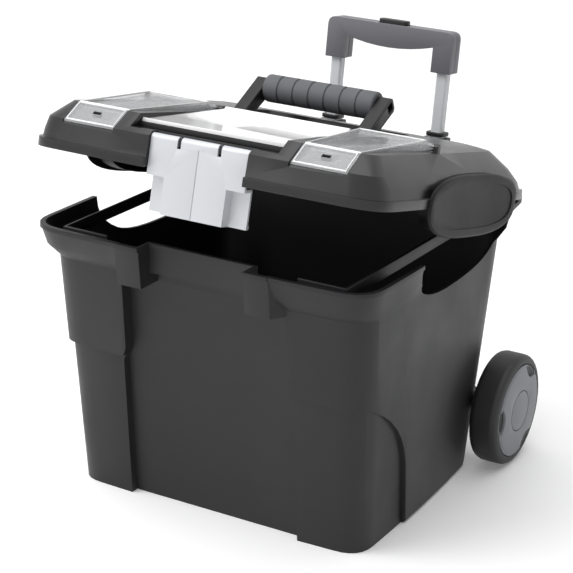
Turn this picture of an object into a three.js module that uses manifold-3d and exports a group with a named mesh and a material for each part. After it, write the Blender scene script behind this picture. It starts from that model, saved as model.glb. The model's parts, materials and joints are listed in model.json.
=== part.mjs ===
// Mobile file cart: a tapered tub on two rear wheels, with an organiser lid and a pull handle.
// Millimetres, +Z up, front towards -Y. The origin is on the floor under the middle of the base.
// The cart is drawn with its lid part open, its carry handle up and its pull handle part out.

import * as THREE from 'three';
import { mergeVertices } from 'three/addons/utils/BufferGeometryUtils.js';
import Module from 'manifold-3d';

const wasm = await Module();
wasm.setup();

// Tub: rim and walls. The walls run down from the rim at their own drafts.
const RIM_HEIGHT = 287;
const WALL = 3;
const RIM_HALF_FRONT = 187.5;
const RIM_HALF_REAR = 184.5;
const RIM_FRONT = 184;
const RIM_REAR = 174;
const LIP_HEIGHT = 4.5;
const LIP_PROUD = 1.5;
const FLARE_DROP = 36;
const FLARE_FRONT = 19;
const FLARE_SIDE_FRONT = 8;
const FLARE_SIDE_REAR = 12;
const FLARE_REAR = 5;
const FLARE_KNEE_DROP = 22;
const FLARE_KNEE_SHARE = 0.3;
const FRONT_DRAFT = 5.9;
const SIDE_DRAFT = 2;
const REAR_LEAN = 6.5;
const CORNER_FRONT = 34;
const CORNER_REAR = 46;
const FRONT_BOW = 3;
const SIDE_BOW = 2;
const BASE_CHAMFER = 3;

// Tub: corner columns, the set-back panel between them, and the latch bay.
const COLUMN_PROUD = 13;
const COLUMN_INNER_UPPER = 91;
const COLUMN_INNER_LOWER = 97.5;
const STEP_HEIGHT = 160;
const STEP_RAMP = 8;
const STEP_IN = 5;
// The step's side line from the floor up to its level part, as [y, z].
const STEP_LINE = [[-42.7, 0], [-56, 72], [-69, 123], [-137, STEP_HEIGHT - 3.5], [-165, STEP_HEIGHT]];
const BAY_HALF = 58;
const BAND_FRONT = 166.5;
const BAND_DEPTH = 30;
const TAB_WIDTH = 27;
const TAB_FRONT = 187;
const TAB_DEPTH = 43;
const TAB_LEAN = 6;
const TAB_SPLAY = 16;

// Side scoops in the tub, and the end caps of the lid that drop into them.
const CAP_HALF_LENGTH = 97;
const CAP_HALF_HEIGHT = 29.5;
const CAP_CENTRE_Y = 28;
const CAP_DROP = 0.5;
const CAP_SQUARENESS = 2.8;
const CAP_THICK = 15;
const CAP_SHY = 2;
const BEZEL_HALF_LENGTH = 103;
const BEZEL_HALF_HEIGHT = 31;
const BEZEL_CENTRE_Y = 17.5;
const BEZEL_THICK = 3.2;
const BEZEL_OFF_RIM = 0.8;
const CAP_BEVEL = 3;
const CAP_PANEL_INSET = 9;
const CAP_PANEL_DEPTH = 1.2;
const SCOOP_HALF_LENGTH = 110;
const SCOOP_CENTRE_Y = 36;
const SCOOP_FLOOR = 238;
const SCOOP_SPRING = 290;

// Hanging rails.
const RAIL_INSET = 26.5;
const RAIL_THICK = 3;
const RAIL_HEIGHT = 12;
const RAIL_BELOW_RIM = 1.5;
const RAIL_LEG = 52;
const RAIL_SETBACK = 9;
const RAIL_SHOE = 26;

// Wheels and axle.
const WHEEL_RADIUS = 60.5;
const WHEEL_WIDTH = 32;
const WHEEL_GAP = 2;
const TYRE_SHOULDER = 6;
const AXLE_RADIUS = 5;
const AXLE_BEHIND_WALL = 6;
const AXLE_COVER = 10;
const AXLE_HOUSING_HALF = 150;
const AXLE_HOUSING_RISE = 15;
const NUT_RADIUS = 9;
const NUT_THICK = 3;
const HUB_RADIUS = 50;
const HUB_THICK = 6;
const HUB_HOLE_RADIUS = 45;
const HUB_HOLE_LENGTH = 30;
const HUB_HOLE_WIDTH = 14;
const HUB_HOLE_TURNS = [-32, 88, 208];
const HUB_RING_RADIUS = 22;
const HUB_RING_WIDTH = 1;
const HUB_RING_DEPTH = 0.9;

// Lid, drawn closed and then turned open about its hinge.
const LID_OPEN = 12.3;
const LID_GAP = 1.5;
const LID_OVERHANG = 5;
const LID_OVERHANG_REAR = 12;
const LID_WALL = 3;
const FLANGE_HEIGHT = 9;
const DECK_HEIGHT = 51;
// Steps up the lid: the share of the rise over the flange, and how far the front, sides and rear draw in.
const LID_STEPS = [
  { share: 0, front: 0, side: 0, rear: 0 },
  { share: 0.01, front: 3.5, side: 3.5, rear: 3 },
  { share: 0.19, front: 4, side: 5, rear: 9 },
  { share: 0.5, front: 4.8, side: 11, rear: 29 },
  { share: 0.9, front: 26.5, side: 25, rear: 60 },
  { share: 0.96, front: 104, side: 33, rear: 73 },
  { share: 1, front: 188, side: 40, rear: 84 },
];
// The space under the lid, in the same terms.
const LID_HOLLOW = [
  { share: 0.13, front: 10, side: 10, rear: 14 },
  { share: 0.57, front: 20, side: 19, rear: 43 },
  { share: 0.75, front: 67, side: 25, rear: 57 },
  { share: 0.83, front: 104, side: 32, rear: 67 },
];
const LID_SKIN = 5;
const HINGE_BEHIND_RIM = 4;
const HINGE_ABOVE_RIM = 5;
const HINGE_PIN_RADIUS = 2;
const HINGE_BARREL_RADIUS = 5;
const HINGE_INNER = 150;
const HINGE_EAR = 7;
const HINGE_BARREL_LENGTH = 13;

// Covers on the lid. All three turn on one rod across the deck.
const COVER_SETBACK = 26.5;
const COVER_ROD_ABOVE_DECK = 1.5;
const COVER_ROD_RADIUS = 1.5;
const COVER_BARREL_RADIUS = 3.2;
const COVER_SEAT_TILT = 4.87;
const COVER_LENGTH = 139;
const COVER_WALL = 2.2;
const COVER_RISE = 8;
const SIDE_COVER_INNER_FRONT = 96;
const SIDE_COVER_OUTER_FRONT = 154;
const SIDE_COVER_INNER_REAR = 81;
const SIDE_COVER_OUTER_REAR = 162;
const COVER_FLAP_REACH = 22;
const COVER_FLAP_FALL = 15;
const FLAP_ROOT = 4;
const SHELF_STEP = 1.2;
const COVER_SLOT_LENGTH = 9;
const COVER_SLOT_WIDTH = 3;
const CENTRE_COVER_HALF_FRONT = 80;
const CENTRE_COVER_HALF_REAR = 73;
const CENTRE_COVER_THICK = 2.5;
const CENTRE_COVER_EDGE = 4;
const TRAY_FLOOR = 15;
const TRAY_RIM = 5;

// Latch on the front of the lid.
const LATCH_HALF = 53.5;
const LATCH_THICK = 3;
const LATCH_PIVOT_Y = -181;
const LATCH_PIVOT_RISE = 28.5;
const LATCH_BARREL_RADIUS = 4.5;
const LATCH_PIN_RADIUS = 1.5;
const LATCH_LENGTH = 70;
const LATCH_PAD_HALF = 34;
const LATCH_FLANGE_SETBACK = 12;
const LATCH_FLANGE_HEIGHT = 38;
const LATCH_HOOK = 2.1;
const LATCH_SLOT_X = 22;
const LATCH_SLOT_WIDTH = 4;
const LATCH_SLOT_LENGTH = 11;
const LATCH_BAY_DEPTH = 6.5;
const LATCH_LUG_THICK = 2.6;

// Carry handle on the lid.
const CARRY_LEAN = 52;
const CARRY_BEHIND_ROD = 21;
const CARRY_PIVOT_RISE = 40;
const CARRY_LENGTH = 60;
const CARRY_ARM_INNER = 64;
const CARRY_ARM_WIDTH = 14;
const CARRY_ARM_DEPTH = 17;
const CARRY_PIN_RADIUS = 3;
const CARRY_POCKET = 9;
const CARRY_BAR_RADIUS = 8;
const GRIP_RADIUS = 14.5;
const GRIP_EDGE = 2;
const HANDLE_TRAY_REACH = 88;
const HANDLE_TRAY_FLOOR = 28;
const HANDLE_TRAY_GAP = 9;

// Pull handle: three nested tubes on each side, parallel to the rear wall.
const TUBE_HALF_SPAN = 64;
const TUBE_BEHIND_RIM = 28;
const TUBE_FOOT_HEIGHT = 16;
const TUBE_WALL = 1.5;
const TUBE_CLEAR = 0.5;
const INNER_TUBE_X = 13;
const INNER_TUBE_Y = 11;
const OUTER_TUBE_LENGTH = 311;
const MIDDLE_TUBE_LENGTH = 292;
const INNER_TUBE_LENGTH = 306;
const MIDDLE_TUBE_OUT = 4;
const INNER_TUBE_OUT = 62;
const COLLAR_WALL = 1.8;
const OUTER_COLLAR_HEIGHT = 6;
const MIDDLE_COLLAR_HEIGHT = 4;
const BRACKET_HEIGHT = 30;
const UPPER_BRACKET_DROP = 8;
const LOWER_BRACKET_DROP = 7;
const BRACKET_WALL = 4;
const PULL_GRIP_HALF = 75;
const PULL_GRIP_DEPTH = 22;
const PULL_GRIP_HEIGHT = 44;
const PULL_BAR_HEIGHT = 20;
const PULL_BAR_SAG = 6;
const PULL_LEG = 22;
const PULL_SOCKET = 25;
const PULL_WALL = 2.5;
const BUTTON_HALF = 17;
const BUTTON_DEPTH = 12;
const BUTTON_PROUD = 4.5;
const BUTTON_TRAVEL = 4;
const ROD_RADIUS = 2;
const SPRING_RADIUS = 3.2;
const SPRING_WIRE = 0.6;
const SPRING_TURNS = 4;

// Clearances.
const SEAT_GAP = 0.3;
const PIN_GAP = 0.3;
const SIDE_GAP = 0.6;

const finish = (color, roughness, metalness = 0) =>
  new THREE.MeshStandardMaterial({ color, roughness, metalness });

const BLACK_PLASTIC = finish(0x1d1d1f, 0.55);
const GREY_LATCH = finish(0xb4b6b9, 0.45);
const CLEAR_PLASTIC = finish(0xdfe3e6, 0.15);
const GREY_RUBBER = finish(0x3b3c3f, 0.75);
const ALUMINIUM = finish(0xc6c8cb, 0.3, 0.9);
const STEEL = finish(0x9a9c9f, 0.35, 1);
const DARK_TYRE = finish(0x242426, 0.7);
const GREY_HUB = finish(0x8b8d90, 0.5);
const GREY_GRIP = finish(0x2c2c2f, 0.5);

const SIDES = [['left', -1], ['right', 1]];
const rise = (degrees) => Math.tan(THREE.MathUtils.degToRad(degrees));
const point = (x, y) => new THREE.Vector2(x, y);

// Joins the vertices of a geometry and hands it over as a solid that can be joined and cut.
function solid(geometry) {
  const bare = new THREE.BufferGeometry();
  bare.setAttribute('position', geometry.getAttribute('position'));
  bare.setIndex(geometry.getIndex());
  const welded = mergeVertices(bare, 1e-4);
  const corners = welded.getIndex().array;
  const faces = [];
  for (let i = 0; i < corners.length; i += 3) {
    const [a, b, c] = corners.subarray(i, i + 3);
    if (a !== b && b !== c && c !== a) faces.push(a, b, c);
  }
  return new wasm.Manifold(new wasm.Mesh({
    numProp: 3,
    vertProperties: new Float32Array(welded.getAttribute('position').array),
    triVerts: new Uint32Array(faces),
  }));
}

function piece(name, material, form) {
  const { vertProperties, triVerts } = form.getMesh();
  const geometry = new THREE.BufferGeometry();
  geometry.setAttribute('position', new THREE.BufferAttribute(new Float32Array(vertProperties), 3));
  geometry.setIndex(new THREE.BufferAttribute(new Uint32Array(triVerts), 1));
  geometry.computeVertexNormals();
  const mesh = new THREE.Mesh(geometry, material);
  mesh.name = name;
  return mesh;
}

const union = (forms) => forms.reduce((whole, form) => whole.add(form));

function box(x0, x1, y0, y1, z0, z1) {
  const geometry = new THREE.BoxGeometry(x1 - x0, y1 - y0, z1 - z0);
  return solid(geometry.translate((x0 + x1) / 2, (y0 + y1) / 2, (z0 + z1) / 2));
}

const polygon = (corners) => new THREE.Shape(corners.map(([u, v]) => point(u, v)));

function extrude(shape, depth, curveSegments) {
  return new THREE.ExtrudeGeometry(shape, { depth, bevelEnabled: false, curveSegments });
}

// A shape drawn in X and Y, run from z0 to z1.
const prismZ = (shape, z0, z1, curveSegments = 3) =>
  solid(extrude(shape, z1 - z0, curveSegments).translate(0, 0, z0));

// A shape drawn in Y and Z, run from x0 to x1.
function prismX(shape, x0, x1, curveSegments = 6) {
  const turn = new THREE.Matrix4().makeBasis(
    new THREE.Vector3(0, 1, 0), new THREE.Vector3(0, 0, 1), new THREE.Vector3(1, 0, 0));
  return solid(extrude(shape, x1 - x0, curveSegments).applyMatrix4(turn).translate(x0, 0, 0));
}

// A shape drawn in X and Z, run from y0 to y1.
function prismY(shape, y0, y1, curveSegments = 6) {
  const turn = new THREE.Matrix4().makeBasis(
    new THREE.Vector3(1, 0, 0), new THREE.Vector3(0, 0, 1), new THREE.Vector3(0, -1, 0));
  return solid(extrude(shape, y1 - y0, curveSegments).applyMatrix4(turn).translate(0, y1, 0));
}

const pairX = (side, a, b) => [Math.min(side * a, side * b), Math.max(side * a, side * b)];

function rodX(radius, x0, x1, y, z, segments = 20) {
  const geometry = new THREE.CylinderGeometry(radius, radius, x1 - x0, segments);
  return solid(geometry.rotateZ(Math.PI / 2).translate((x0 + x1) / 2, y, z));
}

function rodZ(radius, z0, z1, x, y, segments = 16) {
  const geometry = new THREE.CylinderGeometry(radius, radius, z1 - z0, segments);
  return solid(geometry.rotateX(Math.PI / 2).translate(x, y, (z0 + z1) / 2));
}

// A closed profile of [along, radius] points turned about the X axis.
function turnedX(profile, segments) {
  const loop = [...profile, profile[0]].map(([along, radius]) => point(radius, along));
  const geometry = new THREE.LatheGeometry(loop, segments);
  return solid(geometry.rotateZ(-Math.PI / 2));
}

function roundedRect(x0, x1, y0, y1, radius) {
  const shape = new THREE.Shape();
  shape.moveTo(x0 + radius, y0);
  shape.lineTo(x1 - radius, y0);
  shape.absarc(x1 - radius, y0 + radius, radius, -Math.PI / 2, 0);
  shape.lineTo(x1, y1 - radius);
  shape.absarc(x1 - radius, y1 - radius, radius, 0, Math.PI / 2);
  shape.lineTo(x0 + radius, y1);
  shape.absarc(x0 + radius, y1 - radius, radius, Math.PI / 2, Math.PI);
  shape.lineTo(x0, y0 + radius);
  shape.absarc(x0 + radius, y0 + radius, radius, Math.PI, 1.5 * Math.PI);
  return shape;
}

// Skins a stack of outlines that share one point count, and closes both ends.
function loft(levels) {
  const count = levels[0].outline.length;
  const last = (levels.length - 1) * count;
  const positions = levels.flatMap(({ z, outline }) => outline.flatMap((p) => [p.x, p.y, z]));
  const index = [];
  for (let base = 0; base < last; base += count) {
    for (let i = 0; i < count; i += 1) {
      const a = base + i;
      const b = base + ((i + 1) % count);
      index.push(a, b, b + count, a, b + count, a + count);
    }
  }
  for (const [a, b, c] of THREE.ShapeUtils.triangulateShape(levels[0].outline, [])) index.push(c, b, a);
  for (const [a, b, c] of THREE.ShapeUtils.triangulateShape(levels.at(-1).outline, [])) {
    index.push(last + a, last + b, last + c);
  }
  const geometry = new THREE.BufferGeometry();
  geometry.setAttribute('position', new THREE.Float32BufferAttribute(positions, 3));
  geometry.setIndex(index);
  return solid(geometry);
}

// A rounded plan outline with a bowed front and sides, counter-clockwise from above.
function plan({ front, rear, halfFront, halfRear, radiusFront, radiusRear }) {
  const shape = new THREE.Shape();
  const sideY = (front + radiusFront + rear - radiusRear) / 2;
  const sideX = (halfFront + halfRear) / 2 + 2 * SIDE_BOW;
  shape.moveTo(-halfFront + radiusFront, front);
  shape.quadraticCurveTo(0, front - 2 * FRONT_BOW, halfFront - radiusFront, front);
  shape.quadraticCurveTo(halfFront, front, halfFront, front + radiusFront);
  shape.quadraticCurveTo(sideX, sideY, halfRear, rear - radiusRear);
  shape.quadraticCurveTo(halfRear, rear, halfRear - radiusRear, rear);
  shape.lineTo(-halfRear + radiusRear, rear);
  shape.quadraticCurveTo(-halfRear, rear, -halfRear, rear - radiusRear);
  shape.quadraticCurveTo(-sideX, sideY, -halfFront, front + radiusFront);
  shape.quadraticCurveTo(-halfFront, front, -halfFront + radiusFront, front);
  return shape.getPoints(6).slice(0, -1);
}

const flareZ = RIM_HEIGHT - FLARE_DROP;
const lipZ = RIM_HEIGHT - LIP_HEIGHT;
const columnFront = (z) => FLARE_FRONT - RIM_FRONT + (flareZ - z) * rise(FRONT_DRAFT);
const panelFront = (z) => columnFront(z) + COLUMN_PROUD;
const wallRear = (z) => RIM_REAR - FLARE_REAR - (flareZ - z) * rise(REAR_LEAN);
const sideFront = (z) => RIM_HALF_FRONT - FLARE_SIDE_FRONT - (flareZ - z) * rise(SIDE_DRAFT);
const sideRear = (z) => RIM_HALF_REAR - FLARE_SIDE_REAR - (flareZ - z) * rise(SIDE_DRAFT);

const wallPlan = (z, inset) => plan({
  front: columnFront(z) + inset,
  rear: wallRear(z) - inset,
  halfFront: sideFront(z) - inset,
  halfRear: sideRear(z) - inset,
  radiusFront: CORNER_FRONT - inset,
  radiusRear: CORNER_REAR - inset,
});

const rimPlan = (inset) => plan({
  front: -RIM_FRONT + inset,
  rear: RIM_REAR - inset,
  halfFront: RIM_HALF_FRONT - inset,
  halfRear: RIM_HALF_REAR - inset,
  radiusFront: CORNER_FRONT - inset,
  radiusRear: CORNER_REAR - inset,
});

// The knee of the flare: near the rim it is upright, and below the knee it turns in to the wall.
function kneePlan(inset) {
  const wall = wallPlan(flareZ, inset);
  return rimPlan(inset).map((p, i) => p.lerp(wall[i], FLARE_KNEE_SHARE));
}

// The tub's tapered block with its flared rim. The inner one leaves the wall and the floor.
function tubBlock(inset) {
  const foot = inset > 0
    ? [{ z: WALL, outline: wallPlan(WALL, inset) }]
    : [
      { z: 0, outline: wallPlan(0, BASE_CHAMFER) },
      { z: BASE_CHAMFER, outline: wallPlan(BASE_CHAMFER, 0) },
    ];
  const rim = inset > 0
    ? [{ z: RIM_HEIGHT + WALL, outline: rimPlan(inset) }]
    : [
      { z: lipZ, outline: rimPlan(0) },
      { z: lipZ + LIP_PROUD / 4, outline: rimPlan(-LIP_PROUD) },
      { z: RIM_HEIGHT, outline: rimPlan(-LIP_PROUD) },
    ];
  const flare = [
    { z: flareZ, outline: wallPlan(flareZ, inset) },
    { z: RIM_HEIGHT - FLARE_KNEE_DROP, outline: kneePlan(inset) },
  ];
  return loft([...foot, ...flare, ...rim]);
}

// The same block drawn in at its lower front corners.
function steppedBlock(inset) {
  const reach = 2 * RIM_FRONT;
  const [foot0, leg, bend, shoulder, level] = STEP_LINE.map(([y, z]) => point(y + inset, z + inset));
  const arch = new THREE.Shape();
  arch.moveTo(-reach, -WALL);
  arch.lineTo(foot0.x, -WALL);
  arch.lineTo(leg.x, leg.y);
  arch.quadraticCurveTo(bend.x, bend.y, shoulder.x, shoulder.y);
  arch.lineTo(level.x, level.y);
  arch.lineTo(-reach, level.y);
  const corners = prismX(arch, -2 * RIM_HALF_FRONT, 2 * RIM_HALF_FRONT);
  const top = STEP_HEIGHT + 2 * WALL;
  const foot = inset > 0 ? WALL : 0;
  const drawnIn = loft([
    { z: foot, outline: wallPlan(foot, inset + STEP_IN) },
    { z: top, outline: wallPlan(top, inset + STEP_IN) },
  ]);
  return tubBlock(inset).subtract(corners).add(drawnIn);
}

const rectangle = (half, y0, y1) => [point(-half, y0), point(half, y0), point(half, y1), point(-half, y1)];

// The set-back panel between the columns, and the bay that the latch closes into.
function frontRecess(inset) {
  const tabZ = RIM_HEIGHT - TAB_DEPTH + inset;
  const bandZ = RIM_HEIGHT - BAND_DEPTH + inset;
  const ahead = -2 * RIM_FRONT;
  const row = (half, z) => ({ z, outline: rectangle(half + inset, ahead, panelFront(z) + inset) });
  const panel = loft([
    row(COLUMN_INNER_LOWER, -WALL),
    row(COLUMN_INNER_LOWER, STEP_HEIGHT - STEP_RAMP),
    row(COLUMN_INNER_UPPER, STEP_HEIGHT + STEP_RAMP),
    row(COLUMN_INNER_UPPER, tabZ),
  ]);
  const underBand = loft([row(BAY_HALF, tabZ - WALL), row(BAY_HALF, bandZ)]);
  const half = BAY_HALF + inset;
  const above = RIM_HEIGHT + 2 * WALL;
  const lip = inset > 0 ? 0 : LIP_PROUD;
  const band = box(-half, half, ahead, -BAND_FRONT + inset, bandZ - WALL / 2, lipZ);
  const bandLip = box(-half, half, ahead, -BAND_FRONT - lip + inset, lipZ - WALL / 2, above);
  return union([panel, underBand, band.subtract(underBand), bandLip]);
}

// The two tabs beside the latch bay. Their fronts lean in and their outer sides run out to the wall.
function tabs(inset) {
  const top = inset > 0 ? RIM_HEIGHT + WALL : RIM_HEIGHT;
  const foot = RIM_HEIGHT - TAB_DEPTH + inset;
  const back = -BAND_FRONT + 4 * WALL;
  const inner = BAY_HALF + inset;
  const outer = BAY_HALF + TAB_WIDTH - inset;
  const outline = (side, front) => {
    const corners = [
      point(side * inner, front), point(side * outer, front),
      point(side * (outer + TAB_SPLAY), back), point(side * inner, back),
    ];
    return side > 0 ? corners : corners.reverse();
  };
  return union(SIDES.flatMap(([, side]) => {
    const tab = loft([
      { z: foot, outline: outline(side, inset + TAB_LEAN - TAB_FRONT) },
      { z: top, outline: outline(side, inset - TAB_FRONT) },
    ]);
    const [x0, x1] = pairX(side, inner, outer);
    const lip = box(x0, x1, -TAB_FRONT - LIP_PROUD, back, lipZ + LIP_PROUD / 4, RIM_HEIGHT);
    return inset > 0 ? [tab] : [tab, lip];
  }));
}

const tubForm = (inset) => steppedBlock(inset).subtract(frontRecess(inset)).add(tabs(inset));

const lidBase = RIM_HEIGHT + LID_GAP;
const capCentreZ = lidBase - CAP_DROP;

// A squared oval in Y and Z.
function oval(centreY, centreZ, halfY, halfZ, steps = 40) {
  const bulge = (value, half) => Math.sign(value) * Math.abs(value) ** (2 / CAP_SQUARENESS) * half;
  return Array.from({ length: steps }, (_, i) => {
    const angle = (i / steps) * 2 * Math.PI;
    return point(centreY + bulge(Math.cos(angle), halfY), centreZ + bulge(Math.sin(angle), halfZ));
  });
}

const capOutline = (grow) =>
  oval(CAP_CENTRE_Y, capCentreZ, CAP_HALF_LENGTH + grow, CAP_HALF_HEIGHT + grow);
const bezelOutline = (grow) =>
  oval(BEZEL_CENTRE_Y, capCentreZ, BEZEL_HALF_LENGTH + grow, BEZEL_HALF_HEIGHT + grow);

// The hand openings through the tub's sides, which the caps hang into.
function scoops() {
  const reach = 2 * RIM_HALF_FRONT;
  const front = SCOOP_CENTRE_Y - SCOOP_HALF_LENGTH;
  const rear = SCOOP_CENTRE_Y + SCOOP_HALF_LENGTH;
  const outline = oval(SCOOP_CENTRE_Y, SCOOP_SPRING, SCOOP_HALF_LENGTH, SCOOP_SPRING - SCOOP_FLOOR);
  const above = box(-reach, reach, front, rear, SCOOP_SPRING, 2 * RIM_HEIGHT);
  return prismX(new THREE.Shape(outline), -reach, reach).add(above);
}

const axleZ = WHEEL_RADIUS;
const axleY = wallRear(axleZ) + AXLE_BEHIND_WALL;
const hingeY = RIM_REAR + HINGE_BEHIND_RIM;
const hingeZ = RIM_HEIGHT + HINGE_ABOVE_RIM;

// The channel across the foot of the rear wall that carries the axle, open underneath.
function axleHousing() {
  const bottom = axleZ - AXLE_HOUSING_RISE;
  const top = axleZ + AXLE_HOUSING_RISE;
  const back = axleY + AXLE_COVER;
  const profile = (skin) => polygon([
    [wallRear(bottom) - 1 + 2 * skin / WALL, bottom - skin],
    [back - skin, bottom - skin],
    [back - skin, top - 2 * WALL - skin],
    [back - 2 * WALL - skin, top - skin],
    [wallRear(top) - 1 + 2 * skin / WALL, top - skin],
  ]);
  const bearing = 3 * WALL;
  const half = AXLE_HOUSING_HALF;
  return prismX(profile(0), -half, half).subtract(prismX(profile(WALL), bearing - half, half - bearing));
}

// The ears on the rear rim that hold the lid's hinge pins.
function hingeEars() {
  const foot = RIM_HEIGHT - 4 * WALL;
  const root = RIM_REAR - 0.55 * CORNER_REAR;
  const ear = new THREE.Shape();
  ear.moveTo(root, foot);
  ear.lineTo(hingeY + HINGE_BARREL_RADIUS, foot + 2 * WALL);
  ear.lineTo(hingeY + HINGE_BARREL_RADIUS, hingeZ);
  ear.absarc(hingeY, hingeZ, HINGE_BARREL_RADIUS, 0, Math.PI);
  ear.lineTo(hingeY - HINGE_BARREL_RADIUS, RIM_HEIGHT - WALL);
  ear.lineTo(root, RIM_HEIGHT - WALL);
  const outer = HINGE_INNER + HINGE_EAR + HINGE_BARREL_LENGTH;
  return union(SIDES.flatMap(([, side]) => [HINGE_INNER, outer].map((x) => {
    const [x0, x1] = pairX(side, x, x + HINGE_EAR);
    return prismX(ear, x0, x1);
  })));
}

const hingePinEnd = HINGE_INNER + 2 * HINGE_EAR + HINGE_BARREL_LENGTH - 1;

function hingePin(side) {
  const [x0, x1] = pairX(side, HINGE_INNER + 1, hingePinEnd);
  return rodX(HINGE_PIN_RADIUS, x0, x1, hingeY, hingeZ, 16);
}

const railHalfSpan = Math.min(RIM_HALF_FRONT, RIM_HALF_REAR) - RAIL_INSET;
const railTop = RIM_HEIGHT - RAIL_BELOW_RIM;
const railFoot = railTop - RAIL_HEIGHT;
const railFront = -RIM_FRONT + WALL + RAIL_SETBACK + RAIL_THICK;
const railRear = RIM_REAR - WALL - RAIL_SETBACK;

// A hanging rail: a flat bar along one side, with a leg turned in along each end wall.
function rail(side) {
  const end = side * (railHalfSpan - RAIL_LEG);
  const outside = side * railHalfSpan;
  const inside = outside - side * RAIL_THICK;
  const bar = polygon([
    [end, railFront], [outside, railFront], [outside, railRear], [end, railRear],
    [end, railRear - RAIL_THICK], [inside, railRear - RAIL_THICK],
    [inside, railFront + RAIL_THICK], [end, railFront + RAIL_THICK],
  ]);
  return prismZ(bar, railFoot, railTop);
}

// Slotted shoes on the inside of the end walls that the rails' legs drop into.
function railShoes() {
  const depth = RAIL_HEIGHT / 2;
  const foot = railFoot - 2 * WALL;
  const skin = 2 * WALL;
  const shoe = (side, y0, y1) => {
    const middle = railHalfSpan - RAIL_LEG / 2 - RAIL_SHOE / 2;
    const [x0, x1] = pairX(side, middle, middle + RAIL_SHOE);
    return box(x0, x1, y0, y1, foot, railFoot + depth);
  };
  const slot = (y) => box(
    -railHalfSpan, railHalfSpan, y - SEAT_GAP, y + RAIL_THICK + SEAT_GAP,
    railFoot - SEAT_GAP, RIM_HEIGHT);
  const shoes = SIDES.flatMap(([, side]) => [
    shoe(side, -RIM_FRONT + WALL / 2, railFront + RAIL_THICK + skin),
    shoe(side, railRear - RAIL_THICK - skin, wallRear(railFoot)),
  ]);
  return union(shoes).subtract(slot(railFront)).subtract(slot(railRear - RAIL_THICK));
}

function tub() {
  const outer = tubForm(0).add(axleHousing()).add(hingeEars());
  const bore = rodX(AXLE_RADIUS + PIN_GAP, -RIM_HALF_FRONT, RIM_HALF_FRONT, axleY, axleZ);
  const pinReach = hingePinEnd + SEAT_GAP;
  const pinBore = rodX(HINGE_PIN_RADIUS + PIN_GAP, -pinReach, pinReach, hingeY, hingeZ, 16);
  const shell = outer.subtract(tubForm(WALL));
  const inside = tubBlock(WALL / 2);
  return shell.add(railShoes().intersect(inside)).subtract(scoops()).subtract(bore).subtract(pinBore);
}

// Wheels, drawn for the right side with the inner face at x = 0.
const wheelFront = axleY - WHEEL_RADIUS;
const sideSlope = (sideFront(axleZ) - sideRear(axleZ)) / (wallRear(axleZ) - columnFront(axleZ));
const sideAtWheel = sideFront(axleZ) - sideSlope * (wheelFront - columnFront(axleZ)) + SIDE_BOW;
const wheelInner = sideAtWheel + WHEEL_GAP;
const hubSeat = WHEEL_WIDTH - HUB_THICK / 1.5;
const axleEnd = wheelInner + hubSeat + 2;

function wheel() {
  const r = WHEEL_RADIUS;
  const s = TYRE_SHOULDER;
  const bore = AXLE_RADIUS + PIN_GAP;
  const boss = bore + 9;
  const rimInside = HUB_RADIUS - 6;
  const web = WHEEL_WIDTH / 2.8;
  return turnedX([
    [0, bore], [0, boss], [web, boss], [web, rimInside], [0, rimInside + 2],
    [0, r - s], [0.3 * s, r - 0.3 * s], [s, r],
    [WHEEL_WIDTH - s, r], [WHEEL_WIDTH - 0.3 * s, r - 0.3 * s], [WHEEL_WIDTH, r - s],
    [WHEEL_WIDTH, HUB_RADIUS + SIDE_GAP], [hubSeat, HUB_RADIUS + SIDE_GAP], [hubSeat, bore],
  ], 36);
}

// The hub disc that snaps into the wheel, with three lens-shaped hollows.
function hubCap() {
  const back = hubSeat + SEAT_GAP;
  const face = back + HUB_THICK;
  const cavity = NUT_RADIUS + 3;
  const ring = HUB_RING_WIDTH / 2;
  const disc = turnedX([
    [back, cavity], [back, HUB_RADIUS], [face - 2, HUB_RADIUS], [face - 0.6, HUB_RADIUS - 3],
    [face, HUB_RADIUS - 14], [face, HUB_RING_RADIUS + ring], [face - HUB_RING_DEPTH, HUB_RING_RADIUS + ring],
    [face - HUB_RING_DEPTH, HUB_RING_RADIUS - ring], [face, HUB_RING_RADIUS - ring],
    [face, 0], [face - 2, 0], [face - 2, cavity],
  ], 36);
  const lens = new THREE.Shape();
  const half = HUB_HOLE_LENGTH / 2;
  lens.moveTo(-half, HUB_HOLE_RADIUS);
  lens.quadraticCurveTo(0, HUB_HOLE_RADIUS - HUB_HOLE_WIDTH, half, HUB_HOLE_RADIUS);
  lens.quadraticCurveTo(0, HUB_HOLE_RADIUS + HUB_HOLE_WIDTH, -half, HUB_HOLE_RADIUS);
  const hollows = HUB_HOLE_TURNS.map((degrees) => {
    const turn = new THREE.Matrix4().makeRotationX(THREE.MathUtils.degToRad(degrees));
    const across = new THREE.Matrix4().makeBasis(
      new THREE.Vector3(0, 1, 0), new THREE.Vector3(0, 0, 1), new THREE.Vector3(1, 0, 0));
    const cut = extrude(lens, HUB_THICK, 5).applyMatrix4(across).translate(face - HUB_THICK / 2, 0, 0);
    return solid(cut.applyMatrix4(turn));
  });
  return disc.subtract(union(hollows));
}

const axle = () => rodX(AXLE_RADIUS, -axleEnd, axleEnd, axleY, axleZ);

function axleNut() {
  const start = hubSeat + SEAT_GAP;
  const end = start + NUT_THICK;
  const bore = AXLE_RADIUS + PIN_GAP;
  return turnedX([
    [start, bore], [start, NUT_RADIUS], [end - 1, NUT_RADIUS], [end, NUT_RADIUS - 1],
    [end, 0], [end - 0.8, 0], [end - 0.8, bore],
  ], 14);
}

function axleBush() {
  const bore = AXLE_RADIUS + PIN_GAP;
  const length = wheelInner - AXLE_HOUSING_HALF - 2 * SEAT_GAP;
  const start = -length - SEAT_GAP;
  return turnedX([[start, bore], [start, bore + 4], [-SEAT_GAP, bore + 4], [-SEAT_GAP, bore]], 14);
}

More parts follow.
